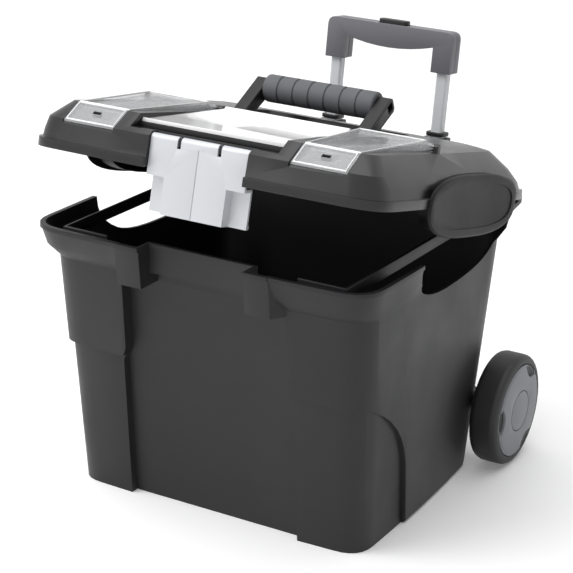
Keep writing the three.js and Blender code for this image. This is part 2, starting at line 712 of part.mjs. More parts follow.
// Lid outlines. Each step up the lid draws the front, sides and rear in by its own amount.
const lidFront = -RIM_FRONT - LIP_PROUD - LID_OVERHANG;
const lidRear = RIM_REAR + LID_OVERHANG_REAR;
const lidPlan = (atFront, atSide, atRear) => plan({
  front: lidFront + atFront,
  rear: lidRear - atRear,
  halfFront: RIM_HALF_FRONT + LIP_PROUD + LID_OVERHANG / 2 - atSide,
  halfRear: RIM_HALF_REAR + LIP_PROUD + LID_OVERHANG / 2 - atSide,
  radiusFront: CORNER_FRONT - Math.min(atSide, CORNER_FRONT / 2),
  radiusRear: CORNER_REAR - Math.min(atSide, CORNER_REAR / 2),
});

const deckTop = lidBase + DECK_HEIGHT;
const lidRise = (share) => lidBase + FLANGE_HEIGHT + share * (DECK_HEIGHT - FLANGE_HEIGHT);

const lidSteps = (table) => table.map(({ share, front, side, rear }) => (
  { z: lidRise(share), outline: lidPlan(front, side, rear) }));

const lidOuter = () => loft([{ z: lidBase, outline: lidPlan(0, 0, 0) }, ...lidSteps(LID_STEPS)]);

const lidHollow = () => loft([
  { z: lidBase - 1, outline: lidPlan(LID_SKIN, LID_SKIN, LID_SKIN) }, ...lidSteps(LID_HOLLOW)]);

// Seat frame of the covers: its origin is on the cover rod and its floor follows the deck.
const coverRodY = lidFront + COVER_SETBACK + COVER_LENGTH;
const coverRodZ = deckTop + COVER_ROD_ABOVE_DECK;
const seatMatrix = new THREE.Matrix4()
  .makeRotationX(THREE.MathUtils.degToRad(COVER_SEAT_TILT))
  .setPosition(0, coverRodY, coverRodZ);
const seatFloor = -COVER_ROD_ABOVE_DECK - 0.5;

const seated = (geometry) => solid(geometry.applyMatrix4(seatMatrix));

function seatedPrism(outline, z0, z1) {
  return seated(extrude(new THREE.Shape(outline), z1 - z0, 6).translate(0, 0, z0));
}

// Plan corners of one side cover in the seat frame, grown by a margin.
function sideCoverPlan(side, grow, rear = -COVER_BARREL_RADIUS) {
  const corners = [
    point(side * (SIDE_COVER_INNER_FRONT - grow), -COVER_LENGTH - grow),
    point(side * (SIDE_COVER_OUTER_FRONT + grow), -COVER_LENGTH - grow),
    point(side * (SIDE_COVER_OUTER_REAR + grow), rear + grow),
    point(side * (SIDE_COVER_INNER_REAR - grow), rear + grow),
  ];
  return side > 0 ? corners : corners.reverse();
}

const centreCoverPlan = (grow, rear = -COVER_BARREL_RADIUS) => [
  point(-CENTRE_COVER_HALF_FRONT - grow, -COVER_LENGTH - grow),
  point(CENTRE_COVER_HALF_FRONT + grow, -COVER_LENGTH - grow),
  point(CENTRE_COVER_HALF_REAR + grow, rear + grow),
  point(-CENTRE_COVER_HALF_REAR - grow, rear + grow),
];

const trayFloorZ = lidBase + TRAY_FLOOR;
const trayDepth = 2 * DECK_HEIGHT;

// A tray under a cover: walls that hang from the deck, and the space to cut out of it.
function tray(outline) {
  const shape = new THREE.Shape(outline.map((p) => point(p.x, p.y + coverRodY)));
  return prismZ(shape, trayFloorZ, trayFloorZ + trayDepth);
}

function trayShell(outline) {
  const shape = new THREE.Shape(outline.map((p) => point(p.x, p.y + coverRodY)));
  return prismZ(shape, trayFloorZ - LID_WALL, deckTop - 1);
}

const carryPivotY = coverRodY + CARRY_BEHIND_ROD;
const carryHalf = CARRY_ARM_INNER + CARRY_ARM_WIDTH;
const handleTrayHalf = carryHalf + HANDLE_TRAY_GAP;
const carryPivotZ = lidBase + CARRY_PIVOT_RISE;

const handleTrayFront = carryPivotY - CARRY_ARM_DEPTH / 2 - 2;
const handleTrayRear = carryPivotY + HANDLE_TRAY_REACH;

function handleTray(grow, floor, top) {
  const half = handleTrayHalf + grow;
  return prismZ(roundedRect(-half, half, handleTrayFront - grow, handleTrayRear + grow, 8), floor, top);
}

const latchPivotZ = lidBase + LATCH_PIVOT_RISE;
const latchWallY = LATCH_PIVOT_Y + LATCH_BAY_DEPTH;
const latchBayHalf = LATCH_HALF + SIDE_GAP;
const shelfZ = latchPivotZ + LATCH_BARREL_RADIUS;

// The raised block behind the latch, with a shelf that runs back to the centre cover.
function latchBlock() {
  const half = latchBayHalf + LID_WALL;
  const back = coverRodY - COVER_LENGTH + 2 * LID_WALL;
  return prismX(polygon([
    [LATCH_PIVOT_Y - LATCH_BARREL_RADIUS, lidBase],
    [latchWallY + LID_WALL, lidBase],
    [latchWallY + LID_WALL, shelfZ - LID_WALL],
    [back, shelfZ - LID_WALL],
    [back, shelfZ + 1],
    [latchWallY, shelfZ - 1],
    [LATCH_PIVOT_Y - LATCH_BARREL_RADIUS, shelfZ - LATCH_BARREL_RADIUS],
  ]), -half, half);
}

const latchLugs = () => union([-LATCH_SLOT_X, LATCH_SLOT_X].map((x) => {
  const half = LATCH_LUG_THICK / 2;
  const reach = LATCH_PIVOT_Y - LATCH_PIN_RADIUS - 1.6;
  return box(x - half, x + half, reach, latchWallY + 1, latchPivotZ - 3.5, latchPivotZ + 3.2);
}));

// The slope cut into the lid's front that a side cover's flap lies in.
function flapPocket(side) {
  const [x0, x1] = pairX(side, SIDE_COVER_INNER_FRONT - SIDE_GAP, SIDE_COVER_OUTER_FRONT + SIDE_GAP);
  const root = FLAP_ROOT - COVER_LENGTH;
  const top = coverFloor + COVER_RISE - COVER_WALL - SEAT_GAP;
  const run = 2 * COVER_FLAP_REACH;
  const fall = run * COVER_FLAP_FALL / (COVER_FLAP_REACH + FLAP_ROOT);
  const corners = [[root, top], [root - run, top - fall], [root - run, DECK_HEIGHT], [root, DECK_HEIGHT]];
  return prismX(polygon(corners.map(([y, z]) => {
    const place = new THREE.Vector3(0, y, z).applyMatrix4(seatMatrix);
    return [place.y, place.z];
  })), x0, x1);
}

// The low shelf in front of the centre cover, between the shoulders beside the flaps.
function centreFront() {
  const half = CENTRE_COVER_HALF_FRONT + SIDE_GAP;
  return box(-half, half, 2 * lidFront, coverRodY - COVER_LENGTH, shelfZ + SHELF_STEP, 2 * deckTop);
}

// Ears on the deck that hold the rod of the covers.
function coverEars() {
  const foot = deckTop - DECK_HEIGHT / 3;
  const ear = new THREE.Shape();
  const r = COVER_BARREL_RADIUS;
  ear.moveTo(coverRodY - r, foot);
  ear.lineTo(coverRodY + r, foot);
  ear.lineTo(coverRodY + r, coverRodZ);
  ear.absarc(coverRodY, coverRodZ, r, 0, Math.PI);
  const inner = [CENTRE_COVER_HALF_REAR + SIDE_GAP, SIDE_COVER_INNER_REAR - SIDE_GAP];
  const outer = [SIDE_COVER_OUTER_REAR + SIDE_GAP, SIDE_COVER_OUTER_REAR + SIDE_GAP + 5];
  return union(SIDES.flatMap(([, side]) => [inner, outer].map(([a, b]) => {
    const [x0, x1] = pairX(side, a, b);
    return prismX(ear, x0, x1);
  })));
}

const coverRodEnd = SIDE_COVER_OUTER_REAR + SIDE_GAP + 4;
const coverRod = () => rodX(COVER_ROD_RADIUS, -coverRodEnd, coverRodEnd, coverRodY, coverRodZ, 12);

// The groove across the deck that the covers' barrels turn in.
function coverGroove() {
  const half = COVER_BARREL_RADIUS + 1;
  const reach = SIDE_COVER_OUTER_REAR + 4 * SIDE_GAP;
  return box(
    -reach, reach, coverRodY - half, coverRodY + half, coverRodZ - half, deckTop + DECK_HEIGHT);
}

// Notches in the lid's rear flange that clear the ears on the rim, and the barrels between them.
function hingeNotches() {
  const clear = HINGE_BARREL_RADIUS + 3.5;
  const outer = HINGE_INNER + HINGE_EAR + HINGE_BARREL_LENGTH;
  return union(SIDES.flatMap(([, side]) => [HINGE_INNER, outer].flatMap((x) => {
    const [x0, x1] = pairX(side, x - SIDE_GAP, x + HINGE_EAR + SIDE_GAP);
    return [box(x0, x1, hingeY - clear, hingeY + 4 * clear, lidBase - clear, hingeZ + clear)];
  })));
}

const hingeBarrels = () => union(SIDES.map(([, side]) => {
  const start = HINGE_INNER + HINGE_EAR;
  const [x0, x1] = pairX(side, start + SIDE_GAP, start + HINGE_BARREL_LENGTH - SIDE_GAP);
  return rodX(HINGE_BARREL_RADIUS, x0, x1, hingeY, hingeZ);
}));

function capBays() {
  const reach = 2 * RIM_HALF_FRONT;
  return union(SIDES.flatMap(([, side]) => {
    const [x0, x1] = pairX(side, capInner - 1, reach);
    const [b0, b1] = pairX(side, bezelBack - SEAT_GAP, reach);
    return [
      prismX(new THREE.Shape(capOutline(SEAT_GAP)), x0, x1),
      prismX(new THREE.Shape(bezelOutline(SEAT_GAP)), b0, b1),
    ];
  }));
}

function lidShell() {
  const outer = lidOuter();
  const sideTrays = SIDES.map(([, side]) => sideCoverPlan(side, -TRAY_RIM, -3 * COVER_BARREL_RADIUS));
  const centreTray = centreCoverPlan(-TRAY_RIM, -3 * COVER_BARREL_RADIUS);
  const trays = [...sideTrays, centreTray];
  const walls = [...SIDES.map(([, side]) => sideCoverPlan(side, LID_WALL - TRAY_RIM, -COVER_BARREL_RADIUS)),
    centreCoverPlan(LID_WALL - TRAY_RIM, -COVER_BARREL_RADIUS)];
  const handleFloor = lidBase + HANDLE_TRAY_FLOOR;
  const bay = box(-latchBayHalf, latchBayHalf, 2 * lidFront, latchWallY, 0, 2 * deckTop);
  const bore = (radius, half, y, z, segments) => rodX(radius + PIN_GAP, -half, half, y, z, segments);
  const bores = union([
    bore(LATCH_PIN_RADIUS, latchBayHalf + 2, LATCH_PIVOT_Y, latchPivotZ, 12),
    bore(CARRY_PIN_RADIUS, handleTrayHalf + 4, carryPivotY, carryPivotZ, 16),
    bore(COVER_ROD_RADIUS, coverRodEnd + SEAT_GAP, coverRodY, coverRodZ, 12),
    bore(HINGE_PIN_RADIUS, hingePinEnd, hingeY, hingeZ, 16),
  ]);
  const seats = union([
    ...SIDES.map(([, side]) => seatedPrism(sideCoverPlan(side, SIDE_GAP), seatFloor, DECK_HEIGHT)),
    seatedPrism(centreCoverPlan(SIDE_GAP), seatFloor, DECK_HEIGHT),
  ]);
  const hung = union([
    ...walls.map((outline) => trayShell(outline)),
    handleTray(2 * LID_WALL, handleFloor - LID_WALL, deckTop),
  ]).intersect(outer);
  return outer
    .subtract(lidHollow())
    .add(hung)
    .add(latchBlock())
    .subtract(union([centreFront(), ...SIDES.map(([, side]) => flapPocket(side))]))
    .subtract(seats)
    .subtract(coverGroove())
    .add(coverEars())
    .subtract(union(trays.map((outline) => tray(outline))))
    .subtract(handleTray(0, handleFloor, deckTop + DECK_HEIGHT))
    .subtract(bay)
    .add(latchLugs())
    .subtract(hingeNotches())
    .add(hingeBarrels())
    .subtract(capBays())
    .subtract(bores);
}

// End caps: shallow shells in the lid's sides that hang into the tub's scoops, each with a wider
// bezel that stands just off the rim.
const capInner = RIM_HALF_FRONT + LIP_PROUD + LID_OVERHANG / 2 - CAP_SHY - CAP_THICK;
const bezelBack = RIM_HALF_FRONT + LIP_PROUD + SIDE_BOW + BEZEL_OFF_RIM;
const capFace = bezelBack + BEZEL_THICK;

function endCap(side) {
  const run = (outline, a, b) => {
    const [x0, x1] = pairX(side, a, b);
    return prismX(new THREE.Shape(outline), x0, x1);
  };
  const slice = (grow, x) => bezelOutline(grow).map((p) => [side * x, p.x, p.y]);
  const bevel = Math.min(CAP_BEVEL, BEZEL_THICK / 1.5);
  const bezel = skin([
    slice(0, bezelBack), slice(0, capFace - bevel), slice(-0.4 * bevel, capFace - 0.4 * bevel),
    slice(-bevel, capFace),
  ], side);
  const body = run(capOutline(0), capInner, bezelBack + BEZEL_THICK / 2);
  const panel = run(bezelOutline(-CAP_PANEL_INSET), capFace - CAP_PANEL_DEPTH, capFace + CAP_THICK);
  const hollow = run(capOutline(-LID_WALL), capInner - CAP_THICK, capFace - BEZEL_THICK);
  return body.add(bezel).subtract(panel).subtract(hollow);
}

// Skins a row of closed loops of 3-D points along X.
function skin(loops, side) {
  const count = loops[0].length;
  const ordered = side > 0 ? loops : [...loops].reverse();
  const index = [];
  const last = (ordered.length - 1) * count;
  for (let base = 0; base < last; base += count) {
    for (let i = 0; i < count; i += 1) {
      const a = base + i;
      const b = base + ((i + 1) % count);
      index.push(a, b, b + count, a, b + count, a + count);
    }
  }
  for (let i = 1; i < count - 1; i += 1) {
    index.push(0, i + 1, i);
    index.push(last, last + i, last + i + 1);
  }
  const geometry = new THREE.BufferGeometry();
  geometry.setAttribute('position', new THREE.Float32BufferAttribute(ordered.flat(2), 3));
  geometry.setIndex(index);
  return solid(geometry);
}

// Covers, drawn in the seat frame with the rod at the origin.
const coverFloor = seatFloor + SEAT_GAP;

const barrel = (x0, x1) => rodX(COVER_BARREL_RADIUS, x0, x1, 0, 0, 16);
const barrelBore = () => rodX(COVER_ROD_RADIUS + PIN_GAP, -coverRodEnd, coverRodEnd, 0, 0, 12);

function flap(side) {
  const top = coverFloor + COVER_RISE;
  const start = FLAP_ROOT - COVER_LENGTH;
  const end = -COVER_LENGTH - COVER_FLAP_REACH;
  const low = top - COVER_FLAP_FALL;
  const [x0, x1] = pairX(side, SIDE_COVER_INNER_FRONT, SIDE_COVER_OUTER_FRONT);
  const plate = prismX(polygon([
    [start, top - COVER_WALL], [start, top], [-COVER_LENGTH, top], [end, low], [end, low - COVER_WALL],
  ].reverse()), x0, x1);
  const middle = side * (SIDE_COVER_INNER_FRONT + SIDE_COVER_OUTER_FRONT) / 2;
  const slotY = -COVER_LENGTH - COVER_FLAP_REACH / 2;
  const slot = box(
    middle - COVER_SLOT_LENGTH / 2, middle + COVER_SLOT_LENGTH / 2,
    slotY, slotY + COVER_SLOT_WIDTH, low - COVER_RISE, top + COVER_RISE);
  return plate.subtract(slot);
}

function sideCover(side) {
  const inset = (grow) => sideCoverPlan(side, grow, -COVER_BARREL_RADIUS - SIDE_GAP);
  const cap = loft([
    { z: coverFloor, outline: inset(0) },
    { z: coverFloor + COVER_RISE - 1, outline: inset(-3) },
    { z: coverFloor + COVER_RISE, outline: inset(-4) },
  ]);
  const hollow = loft([
    { z: coverFloor - 1, outline: inset(-COVER_WALL) },
    { z: coverFloor + COVER_RISE - COVER_WALL, outline: inset(-3 - COVER_WALL) },
  ]);
  const [x0, x1] = pairX(side, SIDE_COVER_INNER_REAR + 2, SIDE_COVER_OUTER_REAR - 2);
  const web = box(x0, x1, -2 * COVER_BARREL_RADIUS, 0, -1.1, 1.1);
  return cap.subtract(hollow).add(flap(side)).add(web).add(barrel(x0, x1)).subtract(barrelBore());
}

function centreCover() {
  const outline = (grow) => centreCoverPlan(grow, -COVER_BARREL_RADIUS - SIDE_GAP);
  const top = coverFloor + CENTRE_COVER_THICK;
  const plate = prismZ(new THREE.Shape(outline(0)), coverFloor, top);
  const half = CENTRE_COVER_HALF_FRONT;
  const edge = box(
    -half + 1, half - 1, -COVER_LENGTH, -COVER_LENGTH + COVER_WALL,
    coverFloor, coverFloor + CENTRE_COVER_EDGE);
  const reach = CENTRE_COVER_HALF_REAR - 2;
  const web = box(-reach, reach, -2 * COVER_BARREL_RADIUS, 0, -1.4, 1.1);
  return union([plate, edge, web, barrel(-reach, reach)]).subtract(barrelBore());
}

// Latch, drawn in the closed lid's place.
function latch() {
  const face = LATCH_PIVOT_Y - LATCH_BARREL_RADIUS;
  const bottom = latchPivotZ - LATCH_LENGTH;
  const flangeTop = bottom + LATCH_FLANGE_HEIGHT;
  const half = LATCH_HALF;
  const t = LATCH_THICK;
  const upper = box(-half, half, face, face + t, flangeTop - t, latchPivotZ);
  const pad = box(-LATCH_PAD_HALF, LATCH_PAD_HALF, face, face + t, bottom, flangeTop);
  const back = face + LATCH_FLANGE_SETBACK;
  const wings = SIDES.flatMap(([, side]) => {
    const [x0, x1] = pairX(side, LATCH_PAD_HALF - t, half);
    const [c0, c1] = pairX(side, LATCH_PAD_HALF - t, LATCH_PAD_HALF);
    const wing = box(x0, x1, back, back + t, bottom, flangeTop);
    const cheek = box(c0, c1, face, back + t, bottom, flangeTop);
    const roof = box(x0, x1, face, back + t, flangeTop - t, flangeTop);
    const hook = prismX(polygon([
      [back + t - 1, bottom], [back + t + LATCH_HOOK, bottom + 1], [back + t + LATCH_HOOK, bottom + 3],
      [back + t - 1, bottom + 8],
    ]), x0, x1);
    return [wing, cheek, roof, hook];
  });
  const barrelForm = rodX(LATCH_BARREL_RADIUS, -half, half, LATCH_PIVOT_Y, latchPivotZ, 20);
  const slots = [-LATCH_SLOT_X, LATCH_SLOT_X].map((x) => box(
    x - LATCH_SLOT_WIDTH / 2, x + LATCH_SLOT_WIDTH / 2, face - 1, face + 6 * t,
    latchPivotZ - LATCH_SLOT_LENGTH + LATCH_BARREL_RADIUS, latchPivotZ + 2 * LATCH_BARREL_RADIUS));
  const groove = box(-0.5, 0.5, face - 1, face + 0.7, bottom - 1, latchPivotZ - LATCH_BARREL_RADIUS);
  const bore = rodX(LATCH_PIN_RADIUS + PIN_GAP, -2 * half, 2 * half, LATCH_PIVOT_Y, latchPivotZ, 12);
  return union([upper, pad, ...wings, barrelForm]).subtract(union([...slots, groove, bore]));
}

const latchPin = () =>
  rodX(LATCH_PIN_RADIUS, -latchBayHalf - 1.5, latchBayHalf + 1.5, LATCH_PIVOT_Y, latchPivotZ, 12);

// Carry handle, drawn upright with its pivot at the origin.
function carryFrame() {
  const half = CARRY_ARM_DEPTH / 2;
  const arm = new THREE.Shape();
  arm.moveTo(-half * 0.8, 0);
  arm.absarc(0, 0, half * 0.8, Math.PI, 2 * Math.PI);
  arm.lineTo(half, CARRY_LENGTH + half - 3);
  arm.lineTo(half - 3, CARRY_LENGTH + half);
  arm.lineTo(-half + 3, CARRY_LENGTH + half);
  arm.lineTo(-half, CARRY_LENGTH + half - 3);
  const arms = SIDES.map(([, side]) => {
    const [x0, x1] = pairX(side, CARRY_ARM_INNER, carryHalf);
    const [p0, p1] = pairX(side, carryHalf - CARRY_POCKET, carryHalf + 1);
    const pocket = CARRY_POCKET / 2;
    return prismX(arm, x0, x1)
      .subtract(box(p0, p1, -pocket, pocket, CARRY_LENGTH - pocket, CARRY_LENGTH + pocket));
  });
  const bar = rodX(CARRY_BAR_RADIUS, -CARRY_ARM_INNER - 1, CARRY_ARM_INNER + 1, 0, CARRY_LENGTH, 20);
  const bore = rodX(CARRY_PIN_RADIUS + PIN_GAP, -2 * carryHalf, 2 * carryHalf, 0, 0, 16);
  return union([...arms, bar]).subtract(bore);
}

// The soft sleeve on the carry handle.
function carryGrip() {
  const end = CARRY_ARM_INNER - SEAT_GAP;
  const bore = CARRY_BAR_RADIUS + SEAT_GAP;
  const edge = GRIP_EDGE;
  return turnedX([
    [-end, bore], [-end, GRIP_RADIUS - edge], [edge - end, GRIP_RADIUS],
    [end - edge, GRIP_RADIUS], [end, GRIP_RADIUS - edge], [end, bore],
  ], 24);
}

function carryPin(side) {
  const [x0, x1] = pairX(side, CARRY_ARM_INNER + 1, handleTrayHalf + 3.5);
  return rodX(CARRY_PIN_RADIUS, x0, x1, carryPivotY, carryPivotZ, 16);
}

// Pull handle, drawn along its own axis: Z runs up the tubes from the foot of the outer pair.
const TUBES = (() => {
  const step = 2 * (TUBE_WALL + TUBE_CLEAR);
  const inner = { x: INNER_TUBE_X, y: INNER_TUBE_Y };
  const middle = { x: inner.x + step, y: inner.y + step };
  return { inner, middle, outer: { x: middle.x + step, y: middle.y + step } };
})();

function tubeShape(size, grow, x = 0) {
  const halfX = size.x / 2 + grow;
  const halfY = size.y / 2 + grow;
  return roundedRect(x - halfX, x + halfX, -halfY, halfY, 2.5 + Math.max(grow, -1.5));
}

function tube(side, size, z0, z1) {
  const x = side * TUBE_HALF_SPAN;
  const bore = prismZ(tubeShape(size, -TUBE_WALL, x), z0 - 1, z1 + 1, 2);
  return prismZ(tubeShape(size, 0, x), z0, z1, 2).subtract(bore);
}

const middleFoot = OUTER_TUBE_LENGTH + OUTER_COLLAR_HEIGHT / 2 + MIDDLE_TUBE_OUT - MIDDLE_TUBE_LENGTH;
const middleTop = middleFoot + MIDDLE_TUBE_LENGTH;
const gripFoot = middleTop + MIDDLE_COLLAR_HEIGHT + INNER_TUBE_OUT;
const innerTop = gripFoot + PULL_SOCKET;
const innerFoot = innerTop - INNER_TUBE_LENGTH;

// A collar that caps one tube and guides the next one in.
function collar(side, around, through, top, height) {
  const x = side * TUBE_HALF_SPAN;
  const half = height / 2;
  return prismZ(tubeShape(around, SEAT_GAP + COLLAR_WALL, x), top - half, top + half, 2)
    .subtract(prismZ(tubeShape(around, SEAT_GAP, x), top - height, top + SEAT_GAP, 2))
    .subtract(prismZ(tubeShape(through, TUBE_CLEAR / 1.5, x), top - height, top + height, 2));
}

const tubeAxisY = (z) => RIM_REAR + TUBE_BEHIND_RIM - (RIM_HEIGHT - z) * rise(REAR_LEAN);
const wallGap = (tubeAxisY(0) - wallRear(0)) * Math.cos(THREE.MathUtils.degToRad(REAR_LEAN));

const upperBracketFoot = flareZ - TUBE_FOOT_HEIGHT - UPPER_BRACKET_DROP - BRACKET_HEIGHT;

// A bracket that ties both outer tubes to the rear wall.
function bracket(z0) {
  const outer = TUBES.outer;
  const half = TUBE_HALF_SPAN + outer.x / 2 + BRACKET_WALL;
  const back = outer.y / 2 + BRACKET_WALL;
  const front = -wallGap + SEAT_GAP;
  const waist = TUBE_HALF_SPAN - outer.x / 2 - BRACKET_WALL;
  const body = prismZ(roundedRect(-half, half, front, back, 4), z0, z0 + BRACKET_HEIGHT);
  const bridge = box(-waist, waist, front + 2 * BRACKET_WALL, 2 * back, z0 - 1, z0 + BRACKET_HEIGHT + 1);
  const pocket = SIDES.map(([, side]) => {
    const x = side * TUBE_HALF_SPAN;
    const reach = outer.x / 2;
    return box(
      x - reach, x + reach, front + BRACKET_WALL, -outer.y / 2 - BRACKET_WALL,
      z0 + BRACKET_WALL, z0 + 2 * BRACKET_HEIGHT);
  });
  const bores = SIDES.map(([, side]) =>
    prismZ(tubeShape(outer, SEAT_GAP, side * TUBE_HALF_SPAN), z0 - 1, z0 + 2 * BRACKET_HEIGHT, 2));
  return body.subtract(union([bridge, ...pocket, ...bores]));
}

// The pull grip: a bar with a leg over each tube, split into a front and a rear shell.
function gripOutline(inset) {
  const half = PULL_GRIP_HALF - inset;
  const leg = half - PULL_LEG + 2 * inset;
  const foot = gripFoot + (inset > 0 ? PULL_SOCKET : 0);
  const top = gripFoot + PULL_GRIP_HEIGHT - inset;
  const under = gripFoot + PULL_GRIP_HEIGHT - PULL_BAR_HEIGHT + inset;
  const round = 9 - inset;
  const shape = new THREE.Shape();
  shape.moveTo(-half, foot);
  shape.lineTo(-leg, foot);
  shape.lineTo(-leg, under + 2);
  shape.quadraticCurveTo(0, under - 2 * PULL_BAR_SAG, leg, under + 2);
  shape.lineTo(leg, foot);
  shape.lineTo(half, foot);
  shape.lineTo(half, top - round);
  shape.quadraticCurveTo(half, top, half - round, top);
  shape.lineTo(round - half, top);
  shape.quadraticCurveTo(-half, top, -half, top - round);
  return shape;
}

const gripTop = gripFoot + PULL_GRIP_HEIGHT;
const yokeZ = gripTop - 9;

function gripShell(y0, y1, face) {
  const body = prismY(gripOutline(0), y0, y1, 8);
  const [h0, h1] = face < 0 ? [y0 + PULL_WALL, y1 + 1] : [y0 - 1, y1 - PULL_WALL];
  const wellX = BUTTON_HALF + SIDE_GAP;
  const wellY = BUTTON_DEPTH / 2 + SIDE_GAP;
  const well = box(-wellX, wellX, -wellY, wellY, gripTop - 2 * PULL_WALL, gripTop + 1);
  const room = prismY(gripOutline(PULL_WALL), h0, h1, 8);
  const sockets = SIDES.map(([, side]) =>
    prismZ(tubeShape(TUBES.inner, SEAT_GAP, side * TUBE_HALF_SPAN), gripFoot - 1, innerTop + SEAT_GAP, 2));
  return body.subtract(union([well, room, ...sockets]));
}

function releaseButton() {
  const outline = roundedRect(-BUTTON_HALF, BUTTON_HALF, -BUTTON_DEPTH / 2, BUTTON_DEPTH / 2, 4);
  const cap = prismZ(outline, gripTop - PULL_WALL, gripTop + BUTTON_PROUD);
  const stem = box(-4, 4, -3, 3, yokeZ + 2 + SEAT_GAP, gripTop - PULL_WALL + 1);
  return cap.add(stem);
}

// The yoke under the button that pushes a rod down each inner tube.
function releaseYoke() {
  return box(-TUBE_HALF_SPAN - 4, TUBE_HALF_SPAN + 4, -2.5, 2.5, yokeZ - 2, yokeZ + 2);
}

function pushRod(side) {
  return rodZ(ROD_RADIUS, innerFoot + 20, yokeZ - 2 - SEAT_GAP, side * TUBE_HALF_SPAN, 0, 10);
}

class Coil extends THREE.Curve {
  constructor(radius, turns, z0, z1) {
    super();
    Object.assign(this, { radius, turns, z0, z1 });
  }

  getPoint(t) {
    const angle = 2 * Math.PI * this.turns * t;
    const z = THREE.MathUtils.lerp(this.z0, this.z1, t);
    return new THREE.Vector3(this.radius * Math.cos(angle), this.radius * Math.sin(angle), z);
  }
}

// The spring under the yoke that lifts the button again.
function releaseSpring() {
  const floor = gripTop - PULL_BAR_HEIGHT - PULL_BAR_SAG + PULL_WALL + SPRING_WIRE + SIDE_GAP + 1.5;
  const top = yokeZ - 2 - SPRING_WIRE - SEAT_GAP;
  const section = new THREE.Shape().absarc(0, 0, SPRING_WIRE, 0, 2 * Math.PI);
  const steps = 9 * SPRING_TURNS;
  const extrudePath = new Coil(SPRING_RADIUS, SPRING_TURNS, floor, top);
  return solid(new THREE.ExtrudeGeometry(section, { steps, extrudePath, curveSegments: 2 }));
}

// Assembly: each moving group sits on its own joint.
function groupAt(y, z, angle, meshes) {
  const group = new THREE.Group();
  group.position.set(0, y, z);
  group.rotation.x = THREE.MathUtils.degToRad(angle);
  group.add(...meshes);
  return group;
}

// Places meshes that are drawn in the cart's frame inside a group whose origin is elsewhere.
function shifted(y, z, meshes) {
  for (const mesh of meshes) mesh.position.set(0, -y, -z);
  return meshes;
}

const carryGroup = () => groupAt(carryPivotY - hingeY, carryPivotZ - hingeZ, -CARRY_LEAN, [
  piece('carry_handle', BLACK_PLASTIC, carryFrame()),
  (() => {
    const sleeve = piece('carry_grip', GREY_RUBBER, carryGrip());
    sleeve.position.z = CARRY_LENGTH;
    return sleeve;
  })(),
]);

const coverGroup = () => groupAt(coverRodY - hingeY, coverRodZ - hingeZ, COVER_SEAT_TILT, [
  ...SIDES.map(([name, side]) => piece(`${name}_cover`, CLEAR_PLASTIC, sideCover(side))),
  piece('centre_cover', CLEAR_PLASTIC, centreCover()),
]);

const lidGroup = () => groupAt(hingeY, hingeZ, -LID_OPEN, [
  ...shifted(hingeY, hingeZ, [
    piece('lid_shell', BLACK_PLASTIC, lidShell()),
    ...SIDES.map(([name, side]) => piece(`${name}_end_cap`, BLACK_PLASTIC, endCap(side))),
    piece('cover_rod', STEEL, coverRod()),
    piece('latch', GREY_LATCH, latch()),
    piece('latch_pin', STEEL, latchPin()),
    ...SIDES.map(([name, side]) => piece(`${name}_carry_pin`, STEEL, carryPin(side))),
  ]),
  coverGroup(),
  carryGroup(),
]);

const pullGroup = () => groupAt(tubeAxisY(TUBE_FOOT_HEIGHT), TUBE_FOOT_HEIGHT, -REAR_LEAN, [
  ...SIDES.flatMap(([name, side]) => [
    piece(`${name}_outer_tube`, ALUMINIUM, tube(side, TUBES.outer, 0, OUTER_TUBE_LENGTH)),
    piece(`${name}_outer_collar`, BLACK_PLASTIC,
      collar(side, TUBES.outer, TUBES.middle, OUTER_TUBE_LENGTH, OUTER_COLLAR_HEIGHT)),
    piece(`${name}_middle_tube`, ALUMINIUM, tube(side, TUBES.middle, middleFoot, middleTop)),
    piece(`${name}_middle_collar`, BLACK_PLASTIC,
      collar(side, TUBES.middle, TUBES.inner, middleTop, MIDDLE_COLLAR_HEIGHT)),
    piece(`${name}_inner_tube`, ALUMINIUM, tube(side, TUBES.inner, innerFoot, innerTop)),
    piece(`${name}_push_rod`, STEEL, pushRod(side)),
  ]),
  piece('lower_bracket', BLACK_PLASTIC, bracket(-LOWER_BRACKET_DROP)),
  piece('upper_bracket', BLACK_PLASTIC, bracket(upperBracketFoot)),
  piece('pull_grip_front', GREY_GRIP, gripShell(-PULL_GRIP_DEPTH / 2, -SEAT_GAP / 2, -1)),
  piece('pull_grip_rear', GREY_GRIP, gripShell(SEAT_GAP / 2, PULL_GRIP_DEPTH / 2, 1)),
  piece('release_button', BLACK_PLASTIC, releaseButton()),
  piece('release_yoke', BLACK_PLASTIC, releaseYoke()),
  piece('release_spring', STEEL, releaseSpring()),
]);

function wheelGroup(name, side) {
  const group = new THREE.Group();
  group.position.set(side * wheelInner, axleY, axleZ);
  if (side < 0) group.rotation.z = Math.PI;
  group.add(
    piece(`${name}_wheel`, DARK_TYRE, wheel()),
    piece(`${name}_hub_cap`, GREY_HUB, hubCap()),
    piece(`${name}_axle_nut`, STEEL, axleNut()),
    piece(`${name}_axle_bush`, BLACK_PLASTIC, axleBush()),
  );
  return group;
}

const cart = new THREE.Group();
cart.add(
  piece('tub', BLACK_PLASTIC, tub()),
  ...SIDES.map(([name, side]) => piece(`${name}_rail`, BLACK_PLASTIC, rail(side))),
  ...SIDES.map(([name, side]) => piece(`${name}_hinge_pin`, STEEL, hingePin(side))),
  piece('axle', STEEL, axle()),
  ...SIDES.map(([name, side]) => wheelGroup(name, side)),
  lidGroup(),
  pullGroup(),
);

export default cart;
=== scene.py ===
"""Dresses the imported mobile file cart: finishes, mouldings, covers, grips, hubs, light and camera."""

from __future__ import annotations

import json
import logging
import math
from dataclasses import dataclass
from enum import Enum
from typing import Any, Iterable

import bmesh
import bpy
from mathutils import Matrix, Vector

